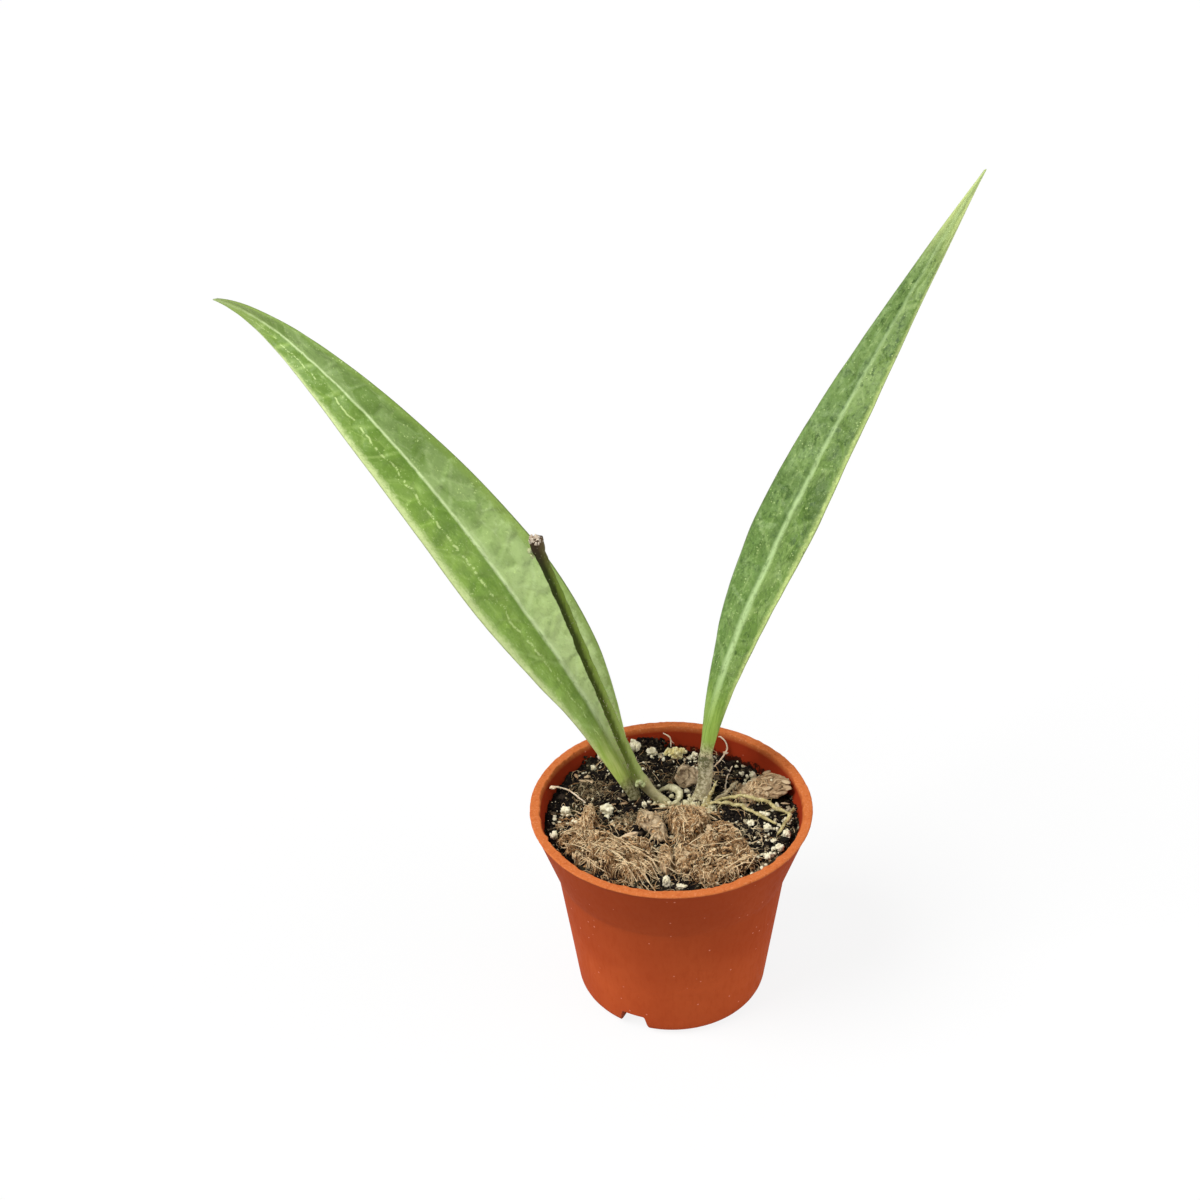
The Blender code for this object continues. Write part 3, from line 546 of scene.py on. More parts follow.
def perlite_material(name, shade, light):
    p = Paint(name, 0.85, 0.25)
    mm = p.place()
    p.colour = p.ramp(p.noise(mm, 0.9, 4, 0.6), (0.3, shade), (0.55, light))
    p.coat(p.step(p.cell(mm, 2.6), 0.26, 0.12) * 0.3, "#beb08c")
    p.coat(p.step(p.noise(mm, 1.6), 0.63, 0.78) * 0.45, "#78644c")
    return p.finish(p.bump(p.noise(mm, 3, 4), 0.2))


# ---- meshes ----


def linked(name, data):
    piece = bpy.data.objects.new(name, data)
    bpy.context.scene.collection.objects.link(piece)
    return piece


def finish_piece(piece, slot, replaced=()):
    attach(piece, "root")
    if replaced:
        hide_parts(*replaced)


def keep_numbers(mesh, key, values):
    """Stores a number or three for each point, for the material."""
    values = np.asarray(values, np.float32)
    kind, field = ("FLOAT", "value") if values.ndim == 1 else ("FLOAT_VECTOR", "vector")
    mesh.attributes.new(key, kind, "POINT").data.foreach_set(field, values.ravel())


def build(name, points, faces, material, slot, replaced=(), **numbers):
    """A piece from points in millimetres and arrays of faces. It rides on the plant's one body."""
    sizes = np.concatenate([np.full(len(f), f.shape[1], np.int32) for f in faces])
    mesh = bpy.data.meshes.new(name)
    mesh.vertices.add(len(points))
    mesh.vertices.foreach_set("co", (points * MM).astype(np.float32).ravel())
    mesh.loops.add(int(sizes.sum()))
    mesh.loops.foreach_set("vertex_index", np.concatenate([f.ravel() for f in faces]).astype(np.int32))
    mesh.polygons.add(len(sizes))
    mesh.polygons.foreach_set("loop_start", (np.cumsum(sizes) - sizes).astype(np.int32))
    mesh.polygons.foreach_set("use_smooth", [True] * len(sizes))
    mesh.update(calc_edges=True)
    mesh.validate()
    mesh.materials.append(material)
    for key, values in numbers.items():
        keep_numbers(mesh, key, values)
    finish_piece(linked(name, mesh), slot, replaced)


class Heap:
    """Collects many small shapes into one mesh, each with its own tone."""

    def __init__(self):
        self.points, self.faces, self.tones, self.count = [], [], [], 0

    def add(self, points, faces, tone=0.5):
        self.points.append(points)
        self.faces.extend(f + self.count for f in faces)
        self.tones.append(np.zeros(len(points)) + tone)
        self.count += len(points)

    def grain(self, size, seed, at, tone, detail=2, knobs=0.35):
        shape, faces = lump(size, seed, detail, knobs)
        self.add(shape + at, faces, tone)

    def fibre(self, rng, tones, *where, **more):
        """Adds a strand where one fits, with a tone between the two given."""
        made = strand(rng, *where, **more)
        if made:
            self.add(*made, rng.uniform(*tones))

    def build(self, name, material, slot, *replaced):
        widths = sorted({f.shape[1] for f in self.faces})
        faces = [np.concatenate([f for f in self.faces if f.shape[1] == w]) for w in widths]
        build(name, np.concatenate(self.points), faces, material, slot, replaced,
            tone=np.concatenate(self.tones))


def lattice(rows, columns, first=0, turned=False):
    """Numbers of points in rows that close on themselves, and the quads between the rows."""
    grid = first + np.arange(rows * columns).reshape(rows, columns)
    beside = np.roll(grid, -1, 1)
    corners = [grid[:-1], beside[:-1], beside[1:], grid[1:]]
    if turned:
        corners[1], corners[3] = corners[3], corners[1]
    return grid, np.stack(corners, -1).reshape(-1, 4)


def tube(path, radius, sides=6, wobble=0.0, seed=0):
    """Points and faces of a closed tube along a path, all in millimetres."""
    path = np.asarray(path, float)
    radius = np.asarray(radius, float)[:, None, None]
    along = np.gradient(path, axis=0)
    along /= np.linalg.norm(along, axis=1)[:, None] + 1e-12
    side = np.cross(along[0], (0.3, 0.2, 0.93))
    rows = np.empty_like(path)
    for k, way in enumerate(along):
        side = side - way * (side @ way)
        rows[k] = side = side / sqrt(side @ side + 1e-12)
    angle = np.linspace(0, TURN, sides, endpoint=False)[:, None]
    ring = np.cos(angle) * rows[:, None] + np.sin(angle) * np.cross(along, rows)[:, None]
    points = path[:, None] + ring * radius
    if wobble:
        shift = fbm(points.reshape(-1, 3) * 0.9, 3, seed).reshape(len(path), sides, 1)
        points = points + ring * shift * wobble * radius
    grid, quads = lattice(len(path), sides)
    return points.reshape(-1, 3), [quads, np.stack([grid[0, ::-1], grid[-1]])]


def bent_tube(rng, foot, head, shake, *rest):
    """A tube of two parts whose middle is shaken out of line."""
    return tube([foot, (foot + head) / 2 + rng.normal(0, shake, 3), head], *rest)


def even_path(rows, step):
    """A route resampled at even spacing."""
    t = np.linspace(0, 1, 400)
    fine = np.stack([blend(column, t) for column in zip(*rows)])
    run = np.concatenate([[0], np.cumsum(np.linalg.norm(np.diff(fine[:3].T, axis=0), axis=1))])
    at = np.linspace(0, run[-1], max(8, int(run[-1] / step)))
    return np.stack([np.interp(at, run, column) for column in fine], -1)


def as_mesh(bm):
    mesh = bpy.data.meshes.new("work")
    bm.to_mesh(mesh)
    bm.free()
    return mesh


def node_mesh(name, levels=0, kind="CATMULL_CLARK"):
    """Points (mm), outward directions and faces of a CAD node, welded and subdivided."""
    bm = bmesh.new()
    bm.from_mesh(NODES[name].data)
    bmesh.ops.remove_doubles(bm, verts=bm.verts, dist=0.002 * MM)
    mesh = as_mesh(bm)
    if levels:
        work = linked("work", mesh)
        subdivide = work.modifiers.new("s", "SUBSURF")
        subdivide.levels, subdivide.subdivision_type = levels, kind
        mesh = evaluated(work)
        bpy.data.objects.remove(work, do_unlink=True)
    points = np.array([v.co for v in mesh.vertices]) / MM
    normals = np.array([v.normal for v in mesh.vertices])
    sizes = {len(f.vertices) for f in mesh.polygons}
    faces = [np.array([tuple(f.vertices) for f in mesh.polygons if len(f.vertices) == k]) for k in sizes]
    bpy.data.meshes.remove(mesh)
    return points, normals, faces


def evaluated(work):
    graph = bpy.context.evaluated_depsgraph_get()
    return bpy.data.meshes.new_from_object(work.evaluated_get(graph))


@cache
def ball(detail):
    bm = bmesh.new()
    bmesh.ops.create_icosphere(bm, subdivisions=detail, radius=1.0)
    points = np.array([v.co for v in bm.verts])
    faces = np.array([[v.index for v in f.verts] for f in bm.faces])
    bm.free()
    return points, faces


def lump(size, seed, detail=3, knobs=0.28, cuts=9):
    """An angular, knobbly grain of the given width, depth and height, cut flat by planes."""
    out, faces = ball(detail)
    rng = np.random.default_rng(seed)
    planes = rng.normal(size=(cuts, 3))
    planes /= np.linalg.norm(planes, axis=1)[:, None]
    reach = np.ones(len(out))
    for plane in planes:
        facing = out @ plane
        limit = rng.uniform(0.6, 0.9)
        reach = np.where(facing > 0.05, np.minimum(reach, limit / np.maximum(facing, 0.05)), reach)
    reach = reach * (1 + knobs * fbm(out * 1.9, 3, seed))
    shape = out * reach[:, None]
    shape = shape - (shape.max(0) + shape.min(0)) / 2
    return shape / (shape.max(0) - shape.min(0)) * size, [faces]


# ---- pot ----


def work_object(bm):
    bmesh.ops.recalc_face_normals(bm, faces=bm.faces)
    return linked("work", as_mesh(bm))


def revolve(outline, step):
    """Solid of revolution from an outline that starts and ends on the axis, divided by step."""
    fine = [outline[0]]
    for (ar, az), (br, bz) in zip(outline, outline[1:]):
        parts = max(1, int(dist((ar, az), (br, bz)) / step))
        fine += [(ar + (br - ar) * k / parts, az + (bz - az) * k / parts) for k in range(1, parts + 1)]
    bm = bmesh.new()
    verts = [bm.verts.new((r * MM, 0, z * MM)) for r, z in fine]
    edges = [bm.edges.new(pair) for pair in zip(verts, verts[1:])]
    bmesh.ops.spin(bm, geom=verts + edges, axis=(0, 0, 1), cent=(0, 0, 0), steps=POT_SEGMENTS, angle=TURN,
        use_merge=True)
    bmesh.ops.remove_doubles(bm, verts=bm.verts, dist=0.0005 * MM)
    return work_object(bm)


def arc(centre, radius, start, end, steps):
    turns = (around(radians(a), radius) for a in np.linspace(start, end, steps + 1))
    return [(centre[0] + x, centre[1] + y) for x, y in turns]


def wall_radius(z):
    radii, heights = zip(*CAVITY)
    return np.interp(z, heights, radii)


def recess_blocks(grow):
    """Blocks in the shape of the drain recesses, larger by grow on every side."""
    bm = bmesh.new()
    top = RECESS_HEIGHT + grow
    slope = (RECESS_FOOT - RECESS_ROOF) / 2 / RECESS_HEIGHT
    roof = RECESS_ROOF / 2 + grow - slope * grow
    foot = roof + slope * (top + 1)
    corner = 0.5
    section = [(-foot, -1), (foot, -1), *arc((roof - corner, top - corner), corner, 10, 90, 4),
        *arc((corner - roof, top - corner), corner, 90, 170, 4)]
    for turn in RECESS_ANGLES:
        spin = Matrix.Rotation(radians(turn), 3, "Z")
        near, far = ([bm.verts.new(spin @ Vector((radius, y, z)) * MM) for y, z in section]
            for radius in (RECESS_REACH - grow, BASE_RADIUS + 4))
        bm.faces.new(near[::-1])
        bm.faces.new(far)
        for corners in zip(near, near[1:] + near[:1], far[1:] + far[:1], far):
            bm.faces.new(corners)
    return work_object(bm)


def carve(target, *cutters):
    """The target's mesh with the cutters taken away; the working objects are removed."""
    for cutter in cutters:
        modifier = target.modifiers.new("cut", "BOOLEAN")
        modifier.operation, modifier.solver, modifier.object = "DIFFERENCE", "EXACT", cutter
    mesh = evaluated(target)
    for obj in (target, *cutters):
        bpy.data.objects.remove(obj, do_unlink=True)
    return mesh


def make_pot(material):
    foot = COLLAR_FOOT - COLLAR_STEP
    lean = degrees(atan2(SHOULDER - BASE_FILLET, foot - BASE_RADIUS))
    reach = BASE_FILLET * tan(radians(lean) / 2)
    round_off = LIP_THICKNESS / 2
    outline = [(0, 0), *arc((BASE_RADIUS - reach, BASE_FILLET), BASE_FILLET, -90, lean - 90, 8),
        (foot - 0.13, SHOULDER - 1.2), (foot + 0.02, SHOULDER - 0.3), (COLLAR_FOOT - 0.06, SHOULDER + 0.3),
        (COLLAR_FOOT + 0.42, SHOULDER + 1.4), (RIM_RADIUS - round_off, POT_HEIGHT - LIP_THICKNESS - 0.1),
        *arc((RIM_RADIUS - round_off, POT_HEIGHT - round_off), round_off, -60, 90, 6), (0, POT_HEIGHT)]
    inside = [(0, FLOOR), *CAVITY, *arc((LIP_INSIDE + 0.25, POT_HEIGHT - 0.25), 0.25, 180, 95, 3),
        (LIP_INSIDE + 0.23, POT_HEIGHT + 1), (0, POT_HEIGHT + 1)]
    cavity = linked("work", carve(revolve(inside, 1.1), recess_blocks(RECESS_WALL)))
    mesh = carve(revolve(outline, 0.9), cavity, recess_blocks(0))
    co = np.array([v.co for v in mesh.vertices]) / MM
    x, y, z = co.T
    radius = np.hypot(x, y) + 1e-9
    turn = np.arctan2(y, x)
    # the flash left along both edges of the lip, and the slight waviness of a moulded wall
    ring = flat3(np.cos(turn) * 26, np.sin(turn) * 26)
    burr = np.clip(fbm(ring * 0.8, 3, 5), -0.4, 1) * 0.26
    top = smoothstep(POT_HEIGHT - 0.9, POT_HEIGHT - 0.2, z)
    outer_edge = top * smoothstep(RIM_RADIUS - 0.7, RIM_RADIUS - 0.1, radius)
    inner_edge = top * smoothstep(LIP_INSIDE + 0.5, LIP_INSIDE, radius)
    wave = fbm(flat3(np.cos(turn) * 1.6, np.sin(turn) * 1.6, 3), 2, 8) * 0.05
    push = -np.abs(burr) * outer_edge * 0.4 - burr * inner_edge * 1.3
    push = push - np.abs(wave) * smoothstep(4, 12, z)
    co[:, :2] += co[:, :2] / radius[:, None] * push[:, None]
    sag = np.abs(fbm(ring * 0.12, 2, 15)) * 0.18 + np.abs(fbm(ring * 1.0, 2, 18)) * 0.1
    co[:, 2] -= sag * top
    mesh.vertices.foreach_set("co", (co * MM).ravel())
    mesh.shade_smooth()
    mesh.set_sharp_from_angle(angle=radians(SHARP_ANGLE))
    mesh.materials.clear()
    mesh.materials.append(material)
    lip = smoothstep(POT_HEIGHT - 0.75, POT_HEIGHT - 0.35, z) * (radius > LIP_INSIDE - 0.6)
    inner = (radius < wall_radius(z) + 0.35) * (z > FLOOR - 0.1) * (lip < 0.5)
    keep_numbers(mesh, "part", np.stack([lip, inner, z / POT_HEIGHT], -1))
    finish_piece(linked("pot_moulded", mesh), "pot_plastic", ["pot"])


# ---- leaves ----


def leaf_frames(leaf, stations):
    """Share of the length, midrib, and the ways across and up, at each station."""
    s = np.linspace(0, 1, stations)
    climb, roll = np.radians(blend(leaf["climb"], s)), np.radians(blend(leaf["roll"], s))[:, None]
    heading = np.radians(np.interp(s, (0, 1), leaf["heading"]))
    along = np.stack([np.cos(climb) * np.cos(heading), np.cos(climb) * np.sin(heading), np.sin(climb)], -1)
    rib = np.zeros((stations, 3))
    rib[1:] = np.cumsum((along[1:] + along[:-1]) / 2 * leaf["length"] * 0.998 / (stations - 1), 0)
    level = np.stack([-np.sin(heading), np.cos(heading), 0 * heading], -1)
    upright = np.cross(along, level)
    across = np.cos(roll) * level + np.sin(roll) * upright
    upward = -np.sin(roll) * level + np.cos(roll) * upright
    return s[:, None], (rib + leaf["base"])[:, None], across[:, None], upward[:, None]


def make_leaf(name, material):
    leaf = LEAVES[name]
    seed, stations = leaf["seed"], LEAF_STATIONS
    s, rib, across, upward = leaf_frames(leaf, stations)
    half = blend(leaf["half_width"], s)
    blade = smoothstep(0.021, 0.21, s)
    fold = np.radians(leaf["fold"]) * blade
    rib_thick = (RIB_THICK[0] + (RIB_THICK[1] - RIB_THICK[0]) * blade) * (1 - 0.45 * smoothstep(0.5, 1.0, s))
    rib_thick = rib_thick + leaf["foot"] * smoothstep(0.045, 0.0, s)
    rim_thick = np.minimum(RIM_THICK[0] * (1 - blade) + RIM_THICK[1] * blade, rib_thick)
    u = np.linspace(-1, 1, LEAF_COLUMNS)
    u = u * (1 - 0.25 * (1 - np.abs(u)))
    al, ac, share = s * leaf["length"] + 0 * u, half * u, np.abs(u + 0 * s)

    def rough(x, y, octaves, shift):
        return fbm(flat3(x, y, seed), octaves, seed + shift).reshape(ac.shape)

    body = blade * (1 - share**6) * smoothstep(1.0, 0.93, s) * np.minimum(1, half / 5)
    quilt = rough(al / 6.5, ac / 4.2, 3, 8) * 0.34 + rough(al / 2.3, ac / 1.7, 2, 9) * 0.10
    # side veins leave the rib and bend towards the tip, and small ones part the blade into pillows
    lead = al - 0.6 * np.abs(ac) - 0.05 * ac**2 + 4.3 * (ac > 0) + rough(al / 9, ac / 9, 2, 3) * 1.8
    gap = np.abs((lead + VEIN_STEP / 2) % VEIN_STEP - VEIN_STEP / 2)
    keep = hashed(np.floor(flat3((lead + VEIN_STEP / 2) / VEIN_STEP, np.sign(ac))), seed).reshape(ac.shape)
    bent = rough(al / 4, ac / 4, 2, 4) * 0.5
    first, second, number, away = cells((al - 0.3 * np.abs(ac) + bent) / 5.2, (ac + bent) / 4.3 + 0.3,
        seed + 2, 1.0)
    tilt = away[0] * np.cos(number * 40) + away[1] * np.sin(number * 40)
    edge, number, tilt = (a.reshape(ac.shape) for a in (second - first, number, tilt))
    facet = 0.27 * tilt * smoothstep(0.0, 0.16, edge) * smoothstep(0.05, 0.4, share)
    pillow = smoothstep(0.0, 0.9, edge) * (1 - keep * (1 - smoothstep(0.0, 1.6, gap)))
    relief = body * (quilt * 0.8 + leaf["quilt"] * (0.12 * (pillow - 0.6) + facet))
    ridge = np.exp(-((ac / (0.34 + 0.3 * (1 - s))) ** 2)) * smoothstep(0.04, 0.12, s) * blade
    sway = rough(al / 13, np.sign(ac) * 5, 3, 12) * 0.3 * share**2 * blade * smoothstep(0.97, 0.8, s)
    curl = -0.35 * smoothstep(0.78, 1.0, share) * blade
    gutter = np.sqrt(share**2 + 0.0016) - 0.04
    thick = rib_thick + (rim_thick - rib_thick) * share**2
    swell = thick / 2 * np.sqrt(np.clip(1 - share ** (2 + 26 * blade), 0, 1))
    lift = gutter * half * np.sin(fold) + sway + curl
    sideways = np.sign(ac) * gutter * half * np.cos(fold)
    sheets = []
    for below, surface in enumerate((lift + swell + relief + 0.14 * ridge,
            lift - swell + relief * 0.7 - 0.35 * ridge)):
        points = rib + sideways[..., None] * across + surface[..., None] * upward
        facts = [al, ac, share, al / leaf["length"], below + 0 * al, number, gap, edge, keep]
        sheets.append(np.concatenate([points, np.stack(facts, -1)], -1))
    shell = np.concatenate([sheets[0], sheets[1][:, -2:0:-1]], 1)
    # the foot goes down into what carries it
    foot, after = shell[0, :, :3], shell[1, :, :3]
    middle = foot.mean(0)
    foot[:] = middle + (foot - middle) * 0.75 + (middle - after.mean(0)) * leaf["sunk"]
    points, blades, wheres, veins = shell.reshape(-1, 4, 3).swapaxes(0, 1)
    grid, quads = lattice(stations, shell.shape[1], turned=True)
    build(name + "_blade", points, [quads, np.stack([grid[0], grid[-1, ::-1]])], material, "leaf", [name],
        blade=blades, where=wheres, relief=veins)


# ---- stem and roots ----


def make_stem(bark, bud, pith):
    path = even_path(STEM, 0.32)
    sides = 22
    points, faces = tube(path[:, :3], path[:, 3], sides)
    out = points - np.repeat(path[:, :3], sides, 0)
    out = out / np.linalg.norm(out, axis=1)[:, None]
    ridges = fbm(points * [1.4, 1.4, 0.3], 3, 31) * 0.11 + fbm(points * 1.9, 2, 37) * 0.06
    run = np.repeat(np.linspace(0, 1, len(path)), sides)
    points = points + out * ((ridges + 0.03) * smoothstep(1.0, 0.97, run))[:, None]
    build("vine_stem_bark", points, faces, bark, "stem", ["vine_stem"], run=flat3(run, out[:, 0]))
    rng = np.random.default_rng(41)
    torn = Heap()
    tip = np.array([-26.4, 5.4, 109.3])
    for k in range(46):
        turn = rng.uniform(0, TURN)
        way = np.array([*around(turn, sqrt(rng.uniform(0.02, 1))), 0])
        foot = tip + 1.3 * way - (0, 0, 0.5)
        head = foot + 0.35 * way + (0, 0, rng.uniform(0.45, 0.95))
        torn.add(*bent_tube(rng, foot, head, 0.06, (0.28, 0.25, 0.12), 5, 0.5, k), rng.uniform())
    for k in range(9):
        torn.grain((0.8, 0.7, 0.5), k + 600, tip + [rng.normal(0, 0.6), rng.normal(0, 0.6), 0.25],
            rng.uniform(), knobs=0.4)
    torn.build("stem_torn_end", pith, "stem")
    buds = Heap()
    for seed, centre, size in BUDS:
        buds.grain(size, seed, centre, rng.uniform(), 3, 0.16)
    buds.build("stem_buds", bud, "stem")
    hairs = Heap()
    for k in range(760):
        spot = rng.uniform(0.85, 0.99) if k < 460 else rng.uniform(0.42, 0.8)
        at = path[int(spot * (len(path) - 1))]
        turn = rng.uniform(0, TURN)
        way = np.array([*around(turn), rng.normal(0, 0.5)])
        foot = at[:3] + way * at[3] * 0.85
        head = foot + way * rng.uniform(0.3, 0.8) + rng.normal(0, 0.15, 3)
        hairs.add(*tube([foot, head], [0.035, 0.015], 3), rng.uniform())
    hairs.build("stem_hairs", pith, "stem")


def make_roots(materials):
    for number, (name, rows) in enumerate(ROOTS.items()):
        rng = np.random.default_rng(number + 90)
        thin = name.startswith("rootlet")
        path = even_path(rows, 0.16)
        n = len(path)
        drift = np.stack([fbm(flat3(np.arange(n) * 0.11, k * 9.0), 2, number) for k in range(3)], -1)
        path[:, :3] += drift * (0.16 if thin else 0.24) * np.sin(np.linspace(0, pi, n))[:, None]
        knots = 1 + (0.12 if thin else 0.26) * fbm(flat3(np.arange(n) * 0.085, 3.0), 2, number + 20)
        heap = Heap()
        width = np.minimum(path[:, 3], 0.17) if thin else path[:, 3] * 0.84
        heap.add(*tube(path[:, :3], width * knots, 8 if thin else 14, 0.22, number))
        for *at, r in rows:
            if thin and r >= 0.5:
                heap.grain((r * 2.5, r * 1.4, r * 1.2), number, at, 0.5, 3, 0.25)
        for k in range(3 if thin else 12):
            at = path[int(rng.uniform(0.08, 0.92) * (n - 1))]
            way = rng.normal(0, 1, 3) * (1, 1, 0.45)
            way /= np.linalg.norm(way)
            foot = at[:3] + way * at[3] * 0.6
            size = at[3] + (rng.uniform(0.1, 0.35) if k % 3 else rng.uniform(0.5, 1.6))
            head = foot + way * size + (0, 0, -0.2 * size)
            head[2] = max(head[2], soil_height(*head[:2]) + 0.2)
            heap.add(*bent_tube(rng, foot, head, 0.05, (0.1 if thin else 0.15, 0.06, 0.025), 4))
        slot = "rootlet" if thin else "root"
        heap.build(name + "_skin", materials.get(name, materials[slot]), slot, name)


def make_crown(root_mat, fibre_mat):
    """Cream nodules and root fibres where the stem enters the mix."""
    rng = np.random.default_rng(19)
    nodules = Heap()
    for k in range(120):
        x, y = rng.uniform(-3.6, 8.6), rng.uniform(0.6, 7.8)
        if k > 76:
            x, y = rng.normal(4.4, 1.5), rng.normal(4.8, 0.8)
        elif k > 64:
            x, y = rng.normal(8.3, 0.6), rng.normal(3.6, 0.6)
        size = rng.uniform(0.5, 1.7 if k < 76 else 1.2)
        nodules.grain(size * rng.uniform(0.6, 1.1, 3), 700 + k,
            (x, y, soil_height(x, y) + 0.5 + rng.uniform(0, 1.0)), rng.uniform(), knobs=0.4)
    nodules.build("crown_nodules", root_mat, "root")
    fan = Heap()
    for k in range(150):
        x, y = rng.uniform(-1.0, 7.5), rng.uniform(1.0, 4.8)
        heading = atan2(y - 6.5, x - 3.2) + rng.normal(0, 0.35)
        fan.fibre(rng, (0.55, 1.0), x, y, heading, rng.uniform(2.0, 6.5), 0.10, rng.uniform(0.2, 0.9),
            rng.uniform(0.05, 0.11), CROWN_TOP, start=rng.uniform(0.0, 1.2))
    fan.build("crown_fibres", fibre_mat, "coir")


# ---- potting mix ----


def cover_tree():
    """The tufts and chips that lie on the mix, as one tree to look for heights in."""
    points, faces = [], []
    for name in ("coir_tuft_left", "coir_tuft_right", "coir_tuft_centre", "coir_tuft_side", "bark_chip_round",
            "bark_chip_large", "bark_chip_front", "husk_chip"):
        p, _, groups = node_mesh(name)
        faces += [f for group in groups for f in (group + len(points)).tolist()]
        points += p.tolist()
    return BVHTree.FromPolygons(points, faces)


COVER = cover_tree()


def cover_height(x, y):
    """Height of the tuft or chip over a point of the mix, or None."""
    hit = COVER.ray_cast(Vector((x, y, 60)), Vector((0, 0, -1)))
    return hit[0].z if hit[0] else None


def crust_height(x, y):
    """The mix with its crumbs."""
    x, y = np.asarray(x, float), np.asarray(y, float)
    total = 0
    for size, height, seed in ((3.1, 0.8, 3), (1.5, 0.55, 9), (0.8, 0.3, 15)):
        first, _, number, _ = cells(x / size, y / size, seed)
        total = total + np.sqrt(np.clip(1 - (first / 0.62) ** 2, 0, 1)) * (0.3 + 0.7 * number) * height
    total = total + fbm(flat3(x * 1.6, y * 1.6), 3, 21) * 0.2
    back_right = smoothstep(0.85, 0.4, np.abs(np.arctan2(x, y) - 0.5))
    hollow = 1.5 * smoothstep(23.0, 26.2, np.hypot(x, y)) * back_right
    return soil_height(x, y) + total.reshape(x.shape) - 0.2 - hollow


def top_height(x, y):
    return cover_height(x, y) or crust_height(x, y)


def spots(rng, count, reach, size_of, avoid=1.0):
    """Places for crumbs on the mix: x, y, z and size, mostly beside what covers it."""
    made = 0
    while made < count:
        radius, turn = reach * sqrt(rng.uniform()), rng.uniform(0, TURN)
        size = size_of(rng.uniform())
        x, y = around(turn, radius)
        if radius + size / 2 > wall_radius(SOIL_LEVEL) - 0.02:
            continue
        if cover_height(x, y) and rng.uniform() < avoid:
            continue
        made += 1
        yield x, y, top_height(x, y), size


def make_crust(material):
    """The mix: a crumbly top skin that tucks in behind the pot's wall, over the solid's own sides
    and bottom, whose top is drawn down out of the way."""
    edge = wall_radius(SOIL_LEVEL) + 0.25
    segments, step = 340, 0.28
    rings = np.concatenate([np.arange(2, int(edge / step)) * step, [edge, edge]])
    turn = np.linspace(0, TURN, segments, endpoint=False)
    x, y = rings[:, None] * np.cos(turn), rings[:, None] * np.sin(turn)
    z = crust_height(x, y)
    z[-1] = SOIL_LEVEL - 2.5
    points = np.concatenate([[[0, 0, crust_height(0, 0)]], np.stack([x, y, z], -1).reshape(-1, 3)])
    grid, quads = lattice(len(rings), segments, 1, True)
    fan = np.stack([0 * grid[0], grid[0], np.roll(grid[0], -1)], -1)
    # each crumb of the skin has its own tone on top and fades to black towards the gaps between crumbs:
    # painted shade in the gaps
    first, _, number, _ = cells(points[:, 0] / 1.5, points[:, 1] / 1.5, 9)
    heap = Heap()
    heap.add(points, [quads, fan], number * 0.6 * smoothstep(0.5, 0.1, first))
    body, _, faces = node_mesh("potting_mix")
    body[:, 2] = np.where(body[:, 2] > SOIL_LEVEL - 4, body[:, 2] - 3, body[:, 2])
    heap.add(body, faces, 0.2)
    heap.build("potting_mix_crust", material, "peat", "potting_mix")


def make_crumbs(material):
    rng = np.random.default_rng(77)
    for name, count, low, high, detail, skew in (("crumbs_large", 760, 0.7, 1.9, 2, 2.4),
            ("crumbs_small", 4300, 0.25, 0.75, 1, 1.7)):
        shapes = [lump(1, 100 + k, detail, 0.35) for k in range(24)]
        heap = Heap()
        for k, (*at, size) in enumerate(spots(rng, count, CRUMB_REACH, lambda t: low + (high - low) * t**2)):
            shape, faces = shapes[k % 24]
            spin = np.array(Matrix.Rotation(rng.uniform(0, ANY_TURN), 3, "Z"))
            flat = rng.uniform(0.3, 0.8)
            stretch = size * np.array([rng.uniform(0.8, 1.5), rng.uniform(0.6, 1.0), flat])
            at[2] += size * 0.1
            heap.add((shape * stretch) @ spin.T + at, faces, rng.uniform() ** skew)
        heap.build(name, material, "peat")


def make_wall_crumbs(material):
    """Crumbs stuck to the inside of the wall, heaped up at the back."""
    rng = np.random.default_rng(64)
    heap = Heap()
    for k in range(900):
        turn = rng.uniform(0, TURN)
        climb = rng.uniform() ** 2 * 1.2
        if k < 240:
            turn, climb = rng.normal(1.72, 0.06), rng.uniform() * 2.6
        elif k < 330:
            turn, climb = rng.normal(0.0, 0.25), rng.uniform() * 0.7
        elif noise([[*around(turn, 4), 0.5]], 3)[0] < 0.1:
            continue
        size = rng.uniform(0.25, 0.9 if k < 240 else 0.6)
        z = crust_height(*around(turn, 25.9)) + climb
        at = around(turn, wall_radius(z) - size * 0.45)
        heap.grain(size * rng.uniform(0.7, 1.3, 3), k % 40, (*at, z), rng.uniform() ** 1.3, 1, 0.4)
    heap.build("crumbs_wall", material, "peat")


# centre, spread and number of grains
GRIT_CLUSTERS = (
    (-22.6, 2.2, 0.7, 10), (-20.4, -0.9, 0.9, 16), (-11.9, 1.3, 1, 10), (-3.5, 22.8, 1.1, 12),
    (4.2, 22, 0.9, 10), (17.8, 13.2, 1, 14), (19.7, 1.4, 0.8, 6), (21.6, -3.4, 0.9, 8),
    (23.4, -1.2, 0.7, 5), (20.1, -13.8, 1.2, 18), (21, -6.3, 0.9, 4), (3.5, 5, 1.3, 14),
)


